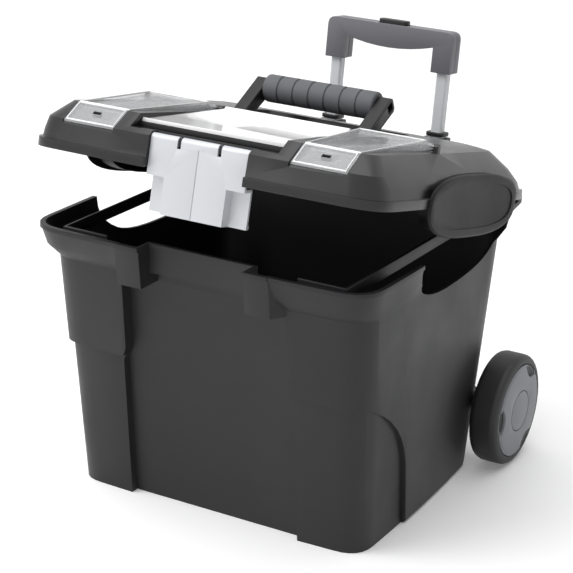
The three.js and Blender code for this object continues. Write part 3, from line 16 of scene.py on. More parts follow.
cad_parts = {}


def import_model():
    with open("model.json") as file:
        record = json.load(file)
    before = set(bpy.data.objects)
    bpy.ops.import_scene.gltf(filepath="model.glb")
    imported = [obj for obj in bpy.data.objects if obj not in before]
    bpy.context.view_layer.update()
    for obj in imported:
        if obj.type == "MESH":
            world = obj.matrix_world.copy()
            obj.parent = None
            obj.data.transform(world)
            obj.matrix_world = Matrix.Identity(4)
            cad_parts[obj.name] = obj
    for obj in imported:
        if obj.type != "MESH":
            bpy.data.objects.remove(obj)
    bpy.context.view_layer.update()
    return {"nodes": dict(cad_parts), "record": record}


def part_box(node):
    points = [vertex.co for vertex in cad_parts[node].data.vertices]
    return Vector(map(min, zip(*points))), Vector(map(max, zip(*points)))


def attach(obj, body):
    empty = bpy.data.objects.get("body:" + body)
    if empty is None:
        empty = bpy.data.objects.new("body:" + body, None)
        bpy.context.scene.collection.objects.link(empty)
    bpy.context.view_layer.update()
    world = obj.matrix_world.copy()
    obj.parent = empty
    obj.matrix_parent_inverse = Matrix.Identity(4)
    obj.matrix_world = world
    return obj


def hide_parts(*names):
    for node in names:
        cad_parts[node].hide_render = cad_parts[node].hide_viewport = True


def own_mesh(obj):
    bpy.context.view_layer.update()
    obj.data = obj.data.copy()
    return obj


log = logging.getLogger("file_cart")

frame: dict[str, Any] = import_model()

MM = 0.001
SIDES: tuple[tuple[str, int], ...] = (("left", -1), ("right", 1))
QUARTERS: tuple[tuple[int, int], ...] = ((1, 1), (1, -1), (-1, -1), (-1, 1))
EDGE_INDEX = 1
SPRING_NODE = "release_spring"
ROUND_STEPS = 64
WIRE_STEPS = 10
RING_CREASE_DEG = 50.0
TURNED_CREASE_DEG = 40.0
TURNED_WELD_MM = 0.001
SPRING_CREASE_DEG = 60.0
WHITE = "#ffffff"


class Body(str, Enum):
    """The rigid bodies of the cart that new pieces ride on."""

    CARRY = "carry"
    PULL_UPPER = "pull_upper"


class Slot(str, Enum):
    """The record's material slots."""

    BLACK = "black_plastic"
    LATCH = "latch_plastic"
    CLEAR = "clear_plastic"
    RUBBER = "grip_rubber"
    ALUMINIUM = "tube_aluminium"
    STEEL = "steel"
    WHEEL = "wheel_plastic"
    HUB = "hub_plastic"
    GRIP = "grip_plastic"


def linear(hex_colour: str) -> tuple[float, float, float, float]:
    """Turns an sRGB hex colour into a linear one.

    Args:
        hex_colour: Six hex digits with a leading hash.

    Returns:
        Linear red, green, blue and an alpha of 1.
    """
    channels = [int(hex_colour[i : i + 2], 16) / 255 for i in (1, 3, 5)]
    red, green, blue = (c / 12.92 if c <= 0.04045 else ((c + 0.055) / 1.055) ** 2.4 for c in channels)
    return (red, green, blue, 1.0)


def node(
    tree: bpy.types.NodeTree, kind: str, settings: dict[str, Any] | None = None, **links: Any
) -> bpy.types.Node:
    """Adds a node with its settings and links.

    Args:
        tree: The tree that takes the node.
        kind: The node's type name.
        settings: Attributes of the node, such as its data type.
        **links: Input names, with spaces as underscores, to a socket to link or a value to set.

    Returns:
        The new node.
    """
    made = tree.nodes.new(kind)
    for key, value in (settings or {}).items():
        setattr(made, key, value)
    for key, value in links.items():
        name = key.replace("_", " ")
        socket = next(s for s in made.inputs if s.name == name and s.enabled)
        if isinstance(value, bpy.types.NodeSocket):
            tree.links.new(value, socket)
        else:
            socket.default_value = value
    return made


@dataclass(frozen=True)
class Finish:
    """A moulded or drawn finish: one colour, a gloss that varies a little, and a fine surface grain."""

    name: str
    colour: str
    roughness: float
    metallic: float = 0.0
    ior: float = 1.49
    grain_mm: float = 0.0
    grain_depth: float = 0.0
    streaks: tuple[float, float, float] = (1.0, 1.0, 1.0)
    gloss_spread: float = 0.04
    patch_mm: float = 45.0
    patch_detail: float = 2.0
    patch_range: tuple[float, float] = (0.3, 0.7)
    grain_detail: float = 1.0
    bump_mm: float = 0.1
    glow: float = 0.0

    def material(self) -> bpy.types.Material:
        """Builds the finish once and hands it out again after that."""
        made = bpy.data.materials.get(self.name)
        return made if made else self._build()

    def _build(self) -> bpy.types.Material:
        """Makes the node tree of the finish.

        Returns:
            The new material.
        """
        made = bpy.data.materials.new(self.name)
        made.use_nodes = True
        tree = made.node_tree
        shader = next(n for n in tree.nodes if n.type == "BSDF_PRINCIPLED")
        shader.inputs["Base Color"].default_value = linear(self.colour)
        shader.inputs["Metallic"].default_value = self.metallic
        shader.inputs["IOR"].default_value = self.ior
        shader.inputs["Emission Color"].default_value = linear(self.colour)
        shader.inputs["Emission Strength"].default_value = self.glow
        coordinates = node(tree, "ShaderNodeTexCoord").outputs["Object"]
        patches = node(
            tree, "ShaderNodeTexNoise", Vector=coordinates, Scale=1 / (self.patch_mm * MM),
            Detail=self.patch_detail)
        faint, strong = self.patch_range
        gloss = node(
            tree, "ShaderNodeMapRange", Value=patches.outputs["Fac"], From_Min=faint, From_Max=strong,
            To_Min=self.roughness - self.gloss_spread, To_Max=self.roughness + self.gloss_spread)
        tree.links.new(gloss.outputs["Result"], shader.inputs["Roughness"])
        if self.grain_mm:
            turned = node(tree, "ShaderNodeMapping", Vector=coordinates, Scale=self.streaks)
            grain = node(
                tree, "ShaderNodeTexNoise", Vector=turned.outputs["Vector"],
                Scale=1 / (self.grain_mm * MM), Detail=self.grain_detail)
            bump = node(
                tree, "ShaderNodeBump", Height=grain.outputs["Fac"], Strength=self.grain_depth,
                Distance=self.bump_mm * MM)
            tree.links.new(bump.outputs["Normal"], shader.inputs["Normal"])
        return made


@dataclass(frozen=True)
class ClearSheet(Finish):
    """Clear moulded plastic: part see-through, with a milky body and a wet gloss."""

    clearness: float = 0.5

    def _build(self) -> bpy.types.Material:
        """Makes the finish, and lets a share of the light straight through.

        Returns:
            The new material.
        """
        made = super()._build()
        tree = made.node_tree
        shader = next(n for n in tree.nodes if n.type == "BSDF_PRINCIPLED")
        shader.inputs["Alpha"].default_value = 1 - self.clearness
        return made


# Polypropylene moulded in a spark-eroded mould: deep black, with a soft broad sheen and a fine tooth.
BLACK_PP = Finish(
    "Moulded black polypropylene", "#1b1b1d", 0.46, ior=1.4, grain_mm=1.2, grain_depth=0.10)
# The same plastic on the lid, from a smoother mould, so its highlights are tighter.
LID_PP = Finish("Satin black polypropylene", "#18181a", 0.3, grain_mm=1.0, grain_depth=0.06)
# The end caps: a rougher mould than the tub, and a darker colour that is painted shade for their side
# turned from the light.
SHADED_CAP_PP = Finish(
    "Dull black polypropylene with painted shade", "#121213", 0.52, ior=1.3, grain_mm=1.2, grain_depth=0.10)
# Silver-grey ABS: an even pale grey with a faint metallic flake.
SILVER_ABS = Finish(
    "Moulded silver-grey ABS", "#c4c6ca", 0.38, metallic=0.25, grain_mm=0.6, grain_depth=0.04)
# Clear polystyrene: colourless and wet-looking, a little milky where light hits it.
CLEAR_PS = ClearSheet(
    "Moulded clear polystyrene", "#cfd1d3", 0.1, ior=1.59, gloss_spread=0.03, clearness=0.63)
# Painted highlight: the thick rounded edges of the same plastic, and the beads, get a near-opaque white
# that stands in for the light they gather.
EDGE_HIGHLIGHT_PS = ClearSheet(
    "Painted edge highlight of clear polystyrene", WHITE, 0.1, ior=1.59, gloss_spread=0.02, clearness=0.1)
# Painted reflection: the flat middle cover, the same clear plastic polished, gets a near-opaque white that
# stands in for its mirror of the pale room.
REFLECTION_PAINTED_PS = ClearSheet(
    "Clear polystyrene with painted reflection", WHITE, 0.06, ior=1.6, gloss_spread=0.02, clearness=0.06)
# Soft thermoplastic rubber: dark warm grey and dull.
SOFT_RUBBER = Finish(
    "Moulded thermoplastic rubber", "#5a5b5e", 0.7, ior=1.5, grain_mm=0.8, grain_depth=0.15)
# Drawn and anodised aluminium: bright, with a fine draw along the tube.
ANODISED = Finish(
    "Anodised drawn aluminium", "#d6d8db", 0.48, metallic=0.15, grain_mm=0.8, grain_depth=0.05,
    streaks=(1.0, 1.0, 0.03))
# Bright drawn steel wire and bar.
STEEL = Finish("Bright drawn steel", "#9ea1a5", 0.32, metallic=1.0)
# Hard black wheel plastic with a soft tread.
WHEEL_BLACK = Finish("Black wheel polymer", "#161617", 0.55, grain_mm=0.9, grain_depth=0.08)
# Mid-grey moulded hub disc.
HUB_GREY = Finish("Moulded grey polypropylene", "#7c7e82", 0.45, grain_mm=0.9, grain_depth=0.05)
# Charcoal nylon of the pull grip, lightened partly as painted sheen for its top-lit faces.
CHARCOAL_AND_SHEEN = Finish("Moulded charcoal nylon with painted sheen", "#68686e", 0.45, grain_mm=1.0, grain_depth=0.08)

SLOT_FINISH: dict[Slot, Finish] = {
    Slot.BLACK: BLACK_PP,
    Slot.LATCH: SILVER_ABS,
    Slot.CLEAR: CLEAR_PS,
    Slot.RUBBER: SOFT_RUBBER,
    Slot.ALUMINIUM: ANODISED,
    Slot.STEEL: STEEL,
    Slot.WHEEL: WHEEL_BLACK,
    Slot.HUB: HUB_GREY,
    Slot.GRIP: CHARCOAL_AND_SHEEN,
}


def body_of(node_name: str) -> str:
    """Finds the body that a CAD node rides on.

    Args:
        node_name: The CAD node.

    Returns:
        The body's name.
    """
    bodies: dict[str, list[str]] = frame["record"]["behaviour"]["bodies"]
    return next(body for body, nodes in bodies.items() if node_name in nodes)


def slot_of(node_name: str) -> Slot:
    """Finds the material slot of a CAD node.

    Args:
        node_name: The CAD node.

    Returns:
        Its slot.
    """
    entry = next(e for e in frame["record"]["subparts"] if e["node"] == node_name)
    return Slot(entry["material_slot"])


def paint(obj: bpy.types.Object, finish: Finish) -> None:
    """Gives an object one finish all over."""
    obj.data.materials.clear()
    obj.data.materials.append(finish.material())


def repaint(obj: bpy.types.Object, finish: Finish, faces: Iterable[int]) -> None:
    """Gives some faces of an object another finish.

    Args:
        obj: The object.
        finish: The finish of those faces.
        faces: Their numbers.
    """
    obj.data.materials.append(finish.material())
    last = len(obj.data.materials) - 1
    for index in faces:
        obj.data.polygons[index].material_index = last


def add(name: str, mesh: bpy.types.Mesh, body: str, finish: Finish) -> bpy.types.Object:
    """Adds a new piece to the scene.

    Args:
        name: The piece's name.
        mesh: Its mesh, in the cart's frame.
        body: The body it rides on.
        finish: Its finish.

    Returns:
        The new object.
    """
    obj = bpy.data.objects.new(name, mesh)
    bpy.context.scene.collection.objects.link(obj)
    paint(obj, finish)
    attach(obj, body)
    log.info("added %s on %s", name, body)
    return obj


def settled(obj: bpy.types.Object) -> bpy.types.Mesh:
    """Turns an object and its modifiers into one plain mesh, and removes the object.

    Args:
        obj: The object to settle.

    Returns:
        The finished mesh.
    """
    graph = bpy.context.evaluated_depsgraph_get()
    mesh = bpy.data.meshes.new_from_object(obj.evaluated_get(graph))
    spare = obj.data
    bpy.data.objects.remove(obj)
    if isinstance(spare, bpy.types.Mesh):
        bpy.data.meshes.remove(spare)
    return mesh


def smooth(mesh: bpy.types.Mesh, angle: float = 35.0) -> None:
    """Shades a mesh smooth, and keeps edges sharper than the angle."""
    mesh.polygons.foreach_set("use_smooth", [True] * len(mesh.polygons))
    mesh.set_sharp_from_angle(angle=math.radians(angle))


@dataclass(frozen=True)
class Softener:
    """Copies a CAD node and rounds its edges, as a mould leaves them."""

    width_mm: float = 0.8
    segments: int = 2
    crease_deg: float = 32.0
    flat_deg: float = 0.4
    weld_mm: float = 0.01
    edge: Finish | None = None

    def mesh(self, node_name: str) -> bpy.types.Mesh:
        """Makes the softened copy of a node's mesh.

        Args:
            node_name: The CAD node.

        Returns:
            A plain mesh in the cart's frame.
        """
        copy = frame["nodes"][node_name].data.copy()
        form = bmesh.new()
        form.from_mesh(copy)
        bmesh.ops.remove_doubles(form, verts=form.verts, dist=self.weld_mm * MM)
        bmesh.ops.dissolve_limit(
            form, angle_limit=math.radians(self.flat_deg), verts=form.verts, edges=form.edges,
            use_dissolve_boundaries=False)
        form.to_mesh(copy)
        form.free()
        if self.edge:
            copy.materials.append(self.edge.material())
        obj = bpy.data.objects.new(f"{node_name}_draft", copy)
        bpy.context.scene.collection.objects.link(obj)
        bevel = obj.modifiers.new("Mould radius", "BEVEL")
        bevel.width = self.width_mm * MM
        bevel.segments = self.segments
        bevel.limit_method = "ANGLE"
        bevel.angle_limit = math.radians(self.crease_deg)
        bevel.use_clamp_overlap = True
        bevel.miter_outer = "MITER_ARC"
        bevel.material = EDGE_INDEX if self.edge else -1
        mesh = settled(obj)
        smooth(mesh)
        return mesh

    def dress(self, node_name: str, finish: Finish) -> bpy.types.Object:
        """Shows a softened copy in place of a node.

        Args:
            node_name: The CAD node.
            finish: The copy's finish.

        Returns:
            The new piece.
        """
        mesh = self.mesh(node_name)
        rounded = [p.index for p in mesh.polygons if p.material_index == EDGE_INDEX]
        piece = add(f"{node_name}_moulded", mesh, body_of(node_name), finish)
        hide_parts(node_name)
        if self.edge:
            repaint(piece, self.edge, rounded)
        return piece


def centre(node_name: str) -> Vector:
    """Gives the middle of a node's box, in metres."""
    low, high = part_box(node_name)
    return (Vector(low) + Vector(high)) / 2


def ring_tree(name: str) -> bpy.types.NodeTree:
    """Builds the tree that bends a round wire into a ring about the X axis.

    Args:
        name: The tree's name.

    Returns:
        A tree with inputs Radius, Thickness and Material.
    """
    tree = bpy.data.node_groups.new(name, "GeometryNodeTree")
    face = tree.interface
    for label, kind in (
        ("Radius", "NodeSocketFloat"), ("Thickness", "NodeSocketFloat"), ("Material", "NodeSocketMaterial"),
    ):
        face.new_socket(name=label, in_out="INPUT", socket_type=kind)
    face.new_socket(name="Geometry", in_out="OUTPUT", socket_type="NodeSocketGeometry")
    given = node(tree, "NodeGroupInput").outputs
    circle = "GeometryNodeCurvePrimitiveCircle"
    hoop = node(tree, circle, Resolution=ROUND_STEPS, Radius=given["Radius"]).outputs["Curve"]
    section = node(tree, circle, Resolution=WIRE_STEPS, Radius=given["Thickness"]).outputs["Curve"]
    ring = node(tree, "GeometryNodeCurveToMesh", Curve=hoop, Profile_Curve=section)
    stood = node(
        tree, "GeometryNodeTransform", Geometry=ring.outputs["Mesh"], Rotation=(0.0, math.pi / 2, 0.0))
    real = node(tree, "GeometryNodeRealizeInstances", Geometry=stood.outputs["Geometry"])
    done = node(
        tree, "GeometryNodeSetMaterial", Geometry=real.outputs["Geometry"], Material=given["Material"])
    node(tree, "NodeGroupOutput", Geometry=done.outputs["Geometry"])
    return tree


def grown(name: str, tree: bpy.types.NodeTree, inputs: dict[str, Any], place: Matrix) -> bpy.types.Mesh:
    """Runs a Geometry Nodes tree and settles its result in the cart's frame.

    Args:
        name: The name of the passing object.
        tree: The tree to run.
        inputs: Values for the tree's inputs, by name.
        place: Where the result goes.

    Returns:
        A plain mesh.
    """
    obj = bpy.data.objects.new(name, bpy.data.meshes.new(name))
    bpy.context.scene.collection.objects.link(obj)
    modifier = obj.modifiers.new(name, "NODES")
    modifier.node_group = tree
    for item in tree.interface.items_tree:
        if item.in_out == "INPUT" and item.name in inputs:
            modifier[item.identifier] = inputs[item.name]
    mesh = settled(obj)
    mesh.transform(place)
    smooth(mesh, RING_CREASE_DEG)
    return mesh


def lathe(profile: Iterable[tuple[float, float]], steps: int, place: Matrix) -> bpy.types.Mesh:
    """Turns a profile about the X axis.

    Args:
        profile: Pairs of place along X and radius, in metres, as one closed loop.
        steps: Faces round the axis.
        place: Where the result goes.

    Returns:
        A closed mesh with its faces outwards.
    """
    loop = list(profile)
    form = bmesh.new()
    rings = []
    for i in range(steps):
        angle = 2 * math.pi * i / steps
        rings.append([form.verts.new((x, r * math.cos(angle), r * math.sin(angle))) for x, r in loop])
    for i in range(steps):
        here, there = rings[i], rings[(i + 1) % steps]
        for k in range(len(loop)):
            n = (k + 1) % len(loop)
            form.faces.new((here[k], here[n], there[n], there[k]))
    bmesh.ops.remove_doubles(form, verts=form.verts, dist=TURNED_WELD_MM * MM)
    bmesh.ops.recalc_face_normals(form, faces=form.faces)
    mesh = bpy.data.meshes.new("turned")
    form.to_mesh(mesh)
    form.free()
    mesh.transform(place)
    smooth(mesh, TURNED_CREASE_DEG)
    return mesh


@dataclass
class TubAssembly:
    """The tub with its rails and brackets."""

    tub_edge: Softener = Softener(width_mm=1.0, segments=3, crease_deg=28.0)
    small_edge: Softener = Softener(width_mm=0.6)
    small: tuple[str, ...] = ("left_rail", "right_rail", "upper_bracket", "lower_bracket")

    def dress(self) -> None:
        """Softens the tub and its small mouldings."""
        self.tub_edge.dress("tub", BLACK_PP)
        for name in self.small:
            self.small_edge.dress(name, BLACK_PP)


@dataclass
class LidAssembly:
    """The lid with its end caps, covers and latch, and the white beads of the side covers, which are
    painted highlight.
    """

    shell_edge: Softener = Softener(width_mm=1.2, segments=3, crease_deg=24.0)
    cap_edge: Softener = Softener(width_mm=0.8, segments=3, crease_deg=30.0)
    # Painted highlight: the covers' rounded edges take the white edge finish.
    cover_edge: Softener = Softener(width_mm=0.8, crease_deg=25.0, edge=EDGE_HIGHLIGHT_PS)
    plate_edge: Softener = Softener(width_mm=0.8)
    latch_edge: Softener = Softener(width_mm=0.9, segments=3)
    slot_x_mm: float = 125.0
    slot_half_mm: float = 6.0
    flap_mm: float = 30.0
    barrel_mm: float = 8.0
    slot_rim_mm: float = 0.9
    bead_mm: float = 0.9
    bead_steps: int = 3
    bead_inset_mm: float = 2.4
    flap_slope: tuple[float, float] = (0.8, 0.95)
    top_slope: tuple[float, float] = (0.97, 1.0)

    def dress(self) -> None:
        """Softens the lid's mouldings and gives each its finish."""
        self.shell_edge.dress("lid_shell", LID_PP)
        for side, sign in SIDES:
            # Painted shade: the end caps take a darker copy of the black plastic.
            self.cap_edge.dress(f"{side}_end_cap", SHADED_CAP_PP)
            cover = self.cover_edge.dress(f"{side}_cover", CLEAR_PS)
            # Painted shade: the faces in and round each flap's slot take the black lid finish, for the dark
            # of the hole.
            repaint(cover, LID_PP, self.slot_shade_faces(cover, f"{side}_cover", sign))
            # Painted highlight: white beads along the cover's rims.
            self.beads(f"{side}_cover")
        # Painted reflection: the middle cover wears white for the room it mirrors.
        self.plate_edge.dress("centre_cover", REFLECTION_PAINTED_PS)
        self.latch_edge.dress("latch", SILVER_ABS)

    def beads(self, node_name: str) -> bpy.types.Object:
        """Runs a thin white bead round the top and round the flap of a side cover, as painted highlight on
        its rims.

        Args:
            node_name: The cover's CAD node.

        Returns:
            The beads, as one piece.
        """
        mesh = frame["nodes"][node_name].data
        line = bpy.data.curves.new(f"{node_name}_bead_line", "CURVE")
        line.dimensions = "3D"
        line.bevel_depth = self.bead_mm * MM
        line.bevel_resolution = self.bead_steps
        low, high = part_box(node_name)
        flap_end, top_end = low[1] + self.flap_mm * MM, high[1] - self.barrel_mm * MM
        for (steep, level), rear in ((self.flap_slope, flap_end), (self.top_slope, top_end)):
            sloped = [p for p in mesh.polygons if steep <= p.normal.z <= level]
            spots = [c for c in (mesh.vertices[v].co for p in sloped for v in p.vertices) if c.y < rear]
            corners = [max(spots, key=lambda spot: x * spot.x + y * spot.y) for x, y in QUARTERS]
            middle = sum(corners, Vector()) / len(corners)
            loop = line.splines.new("POLY")
            loop.points.add(len(corners) - 1)
            loop.use_cyclic_u = True
            for place, corner in zip(loop.points, corners):
                inwards = (middle - corner).normalized() * self.bead_inset_mm * MM
                place.co = (*(corner + inwards), 1.0)
        draft = bpy.data.objects.new(f"{node_name}_bead_draft", line)
        bpy.context.scene.collection.objects.link(draft)
        bead = settled(draft)
        smooth(bead)
        return add(f"{node_name}_beads", bead, body_of(node_name), EDGE_HIGHLIGHT_PS)

    def slot_shade_faces(self, cover: bpy.types.Object, node_name: str, sign: int) -> list[int]:
        """Finds the faces in and round the slot of a cover's flap, which are painted black as shade for the
        hole.

        Args:
            cover: The softened cover.
            node_name: Its CAD node.
            sign: -1 on the left, 1 on the right.

        Returns:
            Their numbers.
        """
        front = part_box(node_name)[0][1] + self.flap_mm * MM
        middle = sign * self.slot_x_mm * MM
        near = self.slot_half_mm * MM
        spots = (v.co for v in frame["nodes"][node_name].data.vertices)
        corners = [spot for spot in spots if abs(spot.x - middle) < near and spot.y < front]
        rim = self.slot_rim_mm * MM
        low = [min(c[i] for c in corners) - rim for i in range(3)]
        high = [max(c[i] for c in corners) + rim for i in range(3)]
        return [
            p.index for p in cover.data.polygons
            if all(low[i] <= cover.data.vertices[v].co[i] <= high[i] for v in p.vertices for i in range(3))]


@dataclass
class CarryHandle:
    """The carry handle: two arms and a soft ribbed sleeve."""

    arm_edge: Softener = Softener(width_mm=1.4, segments=3)
    grooves: int = 6
    end_roll_mm: float = 2.5
    groove_mm: float = 1.3
    groove_half_mm: float = 1.5
    groove_floor: float = 0.4
    roll_angles: tuple[float, ...] = (0.5, 1.0, 1.57)
    bore_mm: float = 8.3

    def dress(self) -> None:
        """Softens the arms and sets the sleeve on the bar."""
        self.arm_edge.dress("carry_handle", BLACK_PP)
        self.sleeve()

    def sleeve(self) -> bpy.types.Object:
        """Turns the soft sleeve with its finger grooves.

        Returns:
            The sleeve, in place of the plain one.
        """
        low, high = (Vector(v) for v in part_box("carry_grip"))
        end = (high.x - low.x) / 2
        radius = (high.z - low.z) / 2
        roll, groove, half = (v * MM for v in (self.end_roll_mm, self.groove_mm, self.groove_half_mm))
        profile = [(-end, self.bore_mm * MM), (-end, radius - roll)]
        rolled = [(roll * (1 - math.cos(a)), radius - roll * (1 - math.sin(a))) for a in self.roll_angles]
        profile += [(-end + along, r) for along, r in rolled]
        pitch = 2 * end / (self.grooves + 1)
        floor = self.groove_floor * half
        for i in range(1, self.grooves + 1):
            x = -end + i * pitch
            profile += [(x - half, radius), (x - floor, radius - groove)]
            profile += [(x + floor, radius - groove), (x + half, radius)]
        profile += [(end - along, r) for along, r in reversed(rolled)]
        profile += [(end, radius - roll), (end, self.bore_mm * MM)]
        mesh = lathe(profile, ROUND_STEPS, Matrix.Translation(centre("carry_grip")))
        piece = add("ribbed_sleeve", mesh, Body.CARRY.value, SOFT_RUBBER)
        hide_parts("carry_grip")
        return piece


@dataclass
class PullHandle:
    """The telescoping pull handle."""

    grip_edge: Softener = Softener(width_mm=1.6, segments=3, crease_deg=50.0)
    button_edge: Softener = Softener(width_mm=1.2, segments=3)
    collar_edge: Softener = Softener(width_mm=0.5)

    def dress(self) -> None:
        """Softens the grip, its button and the collars, and sets the spring."""
        for half in ("front", "rear"):
            # The grip's finish is partly painted sheen: its charcoal is lightened.
            self.grip_edge.dress(f"pull_grip_{half}", CHARCOAL_AND_SHEEN)
        self.button_edge.dress("release_button", BLACK_PP)
        for side, _ in SIDES:
            for ring in ("outer", "middle"):
                self.collar_edge.dress(f"{side}_{ring}_collar", BLACK_PP)
        self.spring()

    def spring(self) -> bpy.types.Object:
        """Sets a smooth-shaded copy of the button's spring, with a mesh of its own.

        Returns:
            The spring, in place of the CAD one.
        """
        mesh = frame["nodes"][SPRING_NODE].data.copy()
        smooth(mesh, SPRING_CREASE_DEG)
        piece = add("release_spring_coil", mesh, Body.PULL_UPPER.value, STEEL)
        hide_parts(SPRING_NODE)
        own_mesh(piece)
        return piece


@dataclass
class Wheels:
    """The two wheels: a black tread with a rounded shoulder and a grey hub disc."""

    hub_edge: Softener = Softener(width_mm=0.4, segments=3, crease_deg=20.0)
    tread_edge: Softener = Softener(width_mm=1.5, segments=3, crease_deg=18.0)
    ring_radius_mm: float = 22.0
    ring_wire_mm: float = 0.35
    ring_depth_mm: float = 0.5
    lens_radius_mm: float = 43.9
    lens_half_mm: float = 11.0
    lens_bulge_mm: float = 5.2
    lens_turns: tuple[float, ...] = (-32.0, 88.0, 208.0)
    lens_depth_mm: float = 2.8
    lens_half_thick_mm: float = 0.1
    lens_steps: int = 24

    def dress(self) -> None:
        """Softens both wheels and adds the dark rings, painted shade in the hub grooves, and the dark
        lenses of the hubs.
        """
        for side, sign in SIDES:
            self.hub_edge.dress(f"{side}_hub_cap", HUB_GREY)
            self.tread_edge.dress(f"{side}_wheel", WHEEL_BLACK)
            self.ring(side, sign)
            self.lenses(side, sign)

    def face(self, side: str, sign: int) -> float:
        """Gives the place of a hub's outer face along X."""
        low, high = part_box(f"{side}_hub_cap")
        return high[0] if sign > 0 else low[0]

    def ring(self, side: str, sign: int) -> None:
        """Lays the fine dark ring in the groove round a hub's centre, as painted shade for the groove.

        Args:
            side: The wheel's side.
            sign: -1 on the left, 1 on the right.
        """
        middle = centre(f"{side}_hub_cap")
        x = self.face(side, sign) - sign * self.ring_depth_mm * MM
        sizes = {
            "Radius": self.ring_radius_mm * MM,
            "Thickness": self.ring_wire_mm * MM,
            "Material": WHEEL_BLACK.material(),
        }
        place = Matrix.Translation((x, middle.y, middle.z))
        mesh = grown(f"{side}_hub_groove_shade", ring_tree(f"{side} hub ring"), sizes, place)
        # Painted shade: a fine dark ring darkens the groove round the hub's centre.
        add(f"{side}_hub_groove_shade", mesh, f"{side}_wheel", WHEEL_BLACK)

    def lenses(self, side: str, sign: int) -> None:
        """Lays the dark lens-shaped backs in the hub's three hollows.

        Args:
            side: The wheel's side.
            sign: -1 on the left, 1 on the right.
        """
        middle = centre(f"{side}_hub_cap")
        x = self.face(side, sign) - sign * self.lens_depth_mm * MM
        outwards = Vector((sign * self.lens_half_thick_mm * MM, 0, 0))
        form = bmesh.new()
        for turn in self.lens_turns:
            spin = Matrix.Rotation(math.radians(sign * turn), 4, "X")
            rim = []
            for i in range(self.lens_steps):
                angle = 2 * math.pi * i / self.lens_steps
                y = self.lens_half_mm * math.cos(angle)
                z = self.lens_radius_mm + self.lens_bulge_mm * math.sin(angle)
                rim.append(spin @ Vector((0, y * MM, z * MM)) + Vector((x, middle.y, middle.z)))
            front = [form.verts.new(spot + outwards) for spot in rim]
            back = [form.verts.new(spot - outwards) for spot in rim]
            form.faces.new(front)
            form.faces.new(list(reversed(back)))
            for i in range(self.lens_steps):
                n = (i + 1) % self.lens_steps
                form.faces.new((front[i], back[i], back[n], front[n]))
        bmesh.ops.recalc_face_normals(form, faces=form.faces)
        mesh = bpy.data.meshes.new(f"{side}_hub_lenses")
        form.to_mesh(mesh)
        form.free()
        add(f"{side}_hub_lenses", mesh, f"{side}_wheel", WHEEL_BLACK)


@dataclass(frozen=True)
class Softbox:
    """One square lamp: where it hangs and its side, in metres, and its power in watts."""

    name: str
    place: tuple[float, float, float]
    side: float
    power: float


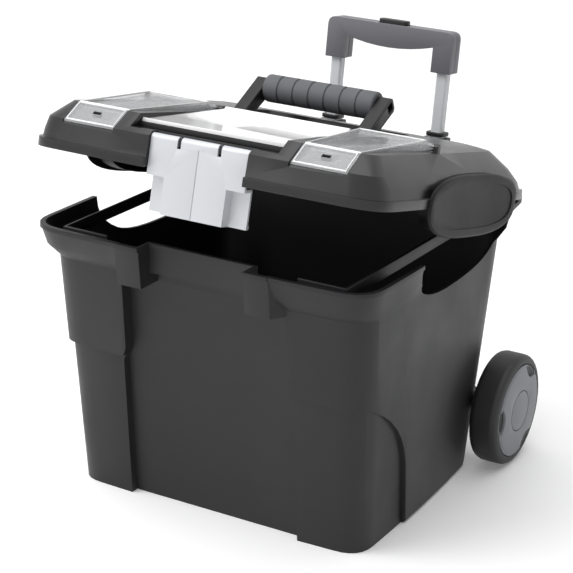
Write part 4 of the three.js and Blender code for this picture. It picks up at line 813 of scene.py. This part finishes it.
@dataclass
class Studio:
    """The pale floor, the soft light and the camera."""

    frame_px: int = 573
    focal_px: float = 1919.9
    azimuth: float = 29.3
    elevation: float = 19.9
    roll: float = 1.9
    distance_mm: float = 1972.9
    target_mm: tuple[float, float, float] = (0.2, 0.0, 205.0)
    sensor_mm: float = 36.0
    floor_m: float = 30.0
    floor_colour: str = "#fcfcfc"
    floor_rough: float = 0.9
    floor_glow: float = 0.15
    backdrop: float = 1.0
    sky: float = 0.85
    dim_side: float = 0.1
    dim_from: float = 0.5
    softboxes: tuple[Softbox, ...] = (
        Softbox("key softbox", (-1.3, -1.6, 2.0), 1.4, 20.0),
        Softbox("top softbox", (0.0, -0.3, 3.5), 4.0, 75.0),
        Softbox("lid softbox", (-0.9, -0.75, 1.75), 0.7, 5.0),
    )
    aim_m: tuple[float, float, float] = (0.0, 0.0, 0.2)
    floor_drop_mm: float = 0.3

    def build(self) -> None:
        """Sets up floor, light, world and camera."""
        bpy.context.scene.view_settings.view_transform = "Standard"
        self.floor()
        self.world()
        for softbox in self.softboxes:
            self.lamp(softbox)
        self.camera()

    def floor(self) -> None:
        """Lays a plain pale floor under the cart."""
        half = self.floor_m / 2
        mesh = bpy.data.meshes.new("floor")
        corners = [(-half, -half, 0), (half, -half, 0), (half, half, 0), (-half, half, 0)]
        mesh.from_pydata(corners, [], [(0, 1, 2, 3)])
        obj = bpy.data.objects.new("floor", mesh)
        bpy.context.scene.collection.objects.link(obj)
        finish = Finish(
            "Matt studio floor", self.floor_colour, self.floor_rough, gloss_spread=0.0,
            glow=self.floor_glow)
        paint(obj, finish)
        obj.location.z = -self.floor_drop_mm * MM

    def world(self) -> None:
        """Lights the cart from all round, less from the right, with white behind it and in its gloss."""
        world = bpy.data.worlds.new("studio")
        bpy.context.scene.world = world
        world.use_nodes = True
        tree = world.node_tree
        tree.nodes.clear()
        path = node(tree, "ShaderNodeLightPath").outputs
        seen = node(tree, "ShaderNodeMath", {"operation": "MAXIMUM"})
        tree.links.new(path["Is Camera Ray"], seen.inputs[0])
        tree.links.new(path["Is Transmission Ray"], seen.inputs[1])
        shown = node(tree, "ShaderNodeMath", {"operation": "MAXIMUM"})
        tree.links.new(seen.outputs[0], shown.inputs[0])
        tree.links.new(path["Is Glossy Ray"], shown.inputs[1])
        outwards = node(tree, "ShaderNodeTexCoord").outputs["Generated"]
        towards = node(tree, "ShaderNodeSeparateXYZ", Vector=outwards)
        strength = node(
            tree, "ShaderNodeMapRange", Value=towards.outputs["X"], From_Min=0.0, From_Max=self.dim_from,
            To_Min=self.sky, To_Max=self.dim_side)
        soft = node(tree, "ShaderNodeBackground", Color=linear(WHITE), Strength=strength.outputs["Result"])
        plain = node(tree, "ShaderNodeBackground", Color=linear(WHITE), Strength=self.backdrop)
        mixed = node(tree, "ShaderNodeMixShader", Fac=shown.outputs[0])
        tree.links.new(soft.outputs[0], mixed.inputs[1])
        tree.links.new(plain.outputs[0], mixed.inputs[2])
        node(tree, "ShaderNodeOutputWorld", Surface=mixed.outputs[0])

    def lamp(self, softbox: Softbox) -> None:
        """Hangs one softbox that faces the cart.

        Args:
            softbox: The lamp's place, size and power.
        """
        light = bpy.data.lights.new(softbox.name, "AREA")
        light.size = softbox.side
        light.energy = softbox.power
        obj = bpy.data.objects.new(softbox.name, light)
        bpy.context.scene.collection.objects.link(obj)
        obj.location = softbox.place
        towards = Vector(self.aim_m) - Vector(softbox.place)
        obj.rotation_euler = towards.to_track_quat("-Z", "Y").to_euler()

    def camera(self) -> None:
        """Stands the camera at the photograph's viewing angle."""
        azimuth, elevation, roll = (math.radians(v) for v in (self.azimuth, self.elevation, self.roll))
        right = Vector((math.cos(azimuth), math.sin(azimuth), 0))
        level = Vector((math.sin(azimuth), -math.cos(azimuth), 0))
        back = level * math.cos(elevation) + Vector((0, 0, math.sin(elevation)))
        up = back.cross(right)
        rolled_right = right * math.cos(roll) + up * math.sin(roll)
        rolled_up = up * math.cos(roll) - right * math.sin(roll)
        place = (Vector(self.target_mm) + back * self.distance_mm) * MM
        data = bpy.data.cameras.new("camera")
        data.sensor_fit = "HORIZONTAL"
        data.sensor_width = self.sensor_mm
        data.lens = self.focal_px / self.frame_px * self.sensor_mm
        obj = bpy.data.objects.new("camera", data)
        bpy.context.scene.collection.objects.link(obj)
        turn = Matrix((rolled_right, rolled_up, back)).transposed().to_4x4()
        obj.matrix_world = Matrix.Translation(place) @ turn
        bpy.context.scene.camera = obj


def finish_cad_nodes() -> None:
    """Gives every CAD node the finish of its slot."""
    for name, obj in frame["nodes"].items():
        paint(obj, SLOT_FINISH[slot_of(name)])


def main() -> None:
    """Builds the sub-assemblies in order and sets the scene."""
    logging.basicConfig(level=logging.INFO, format="%(name)s: %(message)s")
    finish_cad_nodes()
    for assembly in (TubAssembly(), LidAssembly(), CarryHandle(), PullHandle(), Wheels()):
        assembly.dress()
        log.info("dressed %s", type(assembly).__name__)
    Studio().build()


if __name__ == "__main__":
    main()
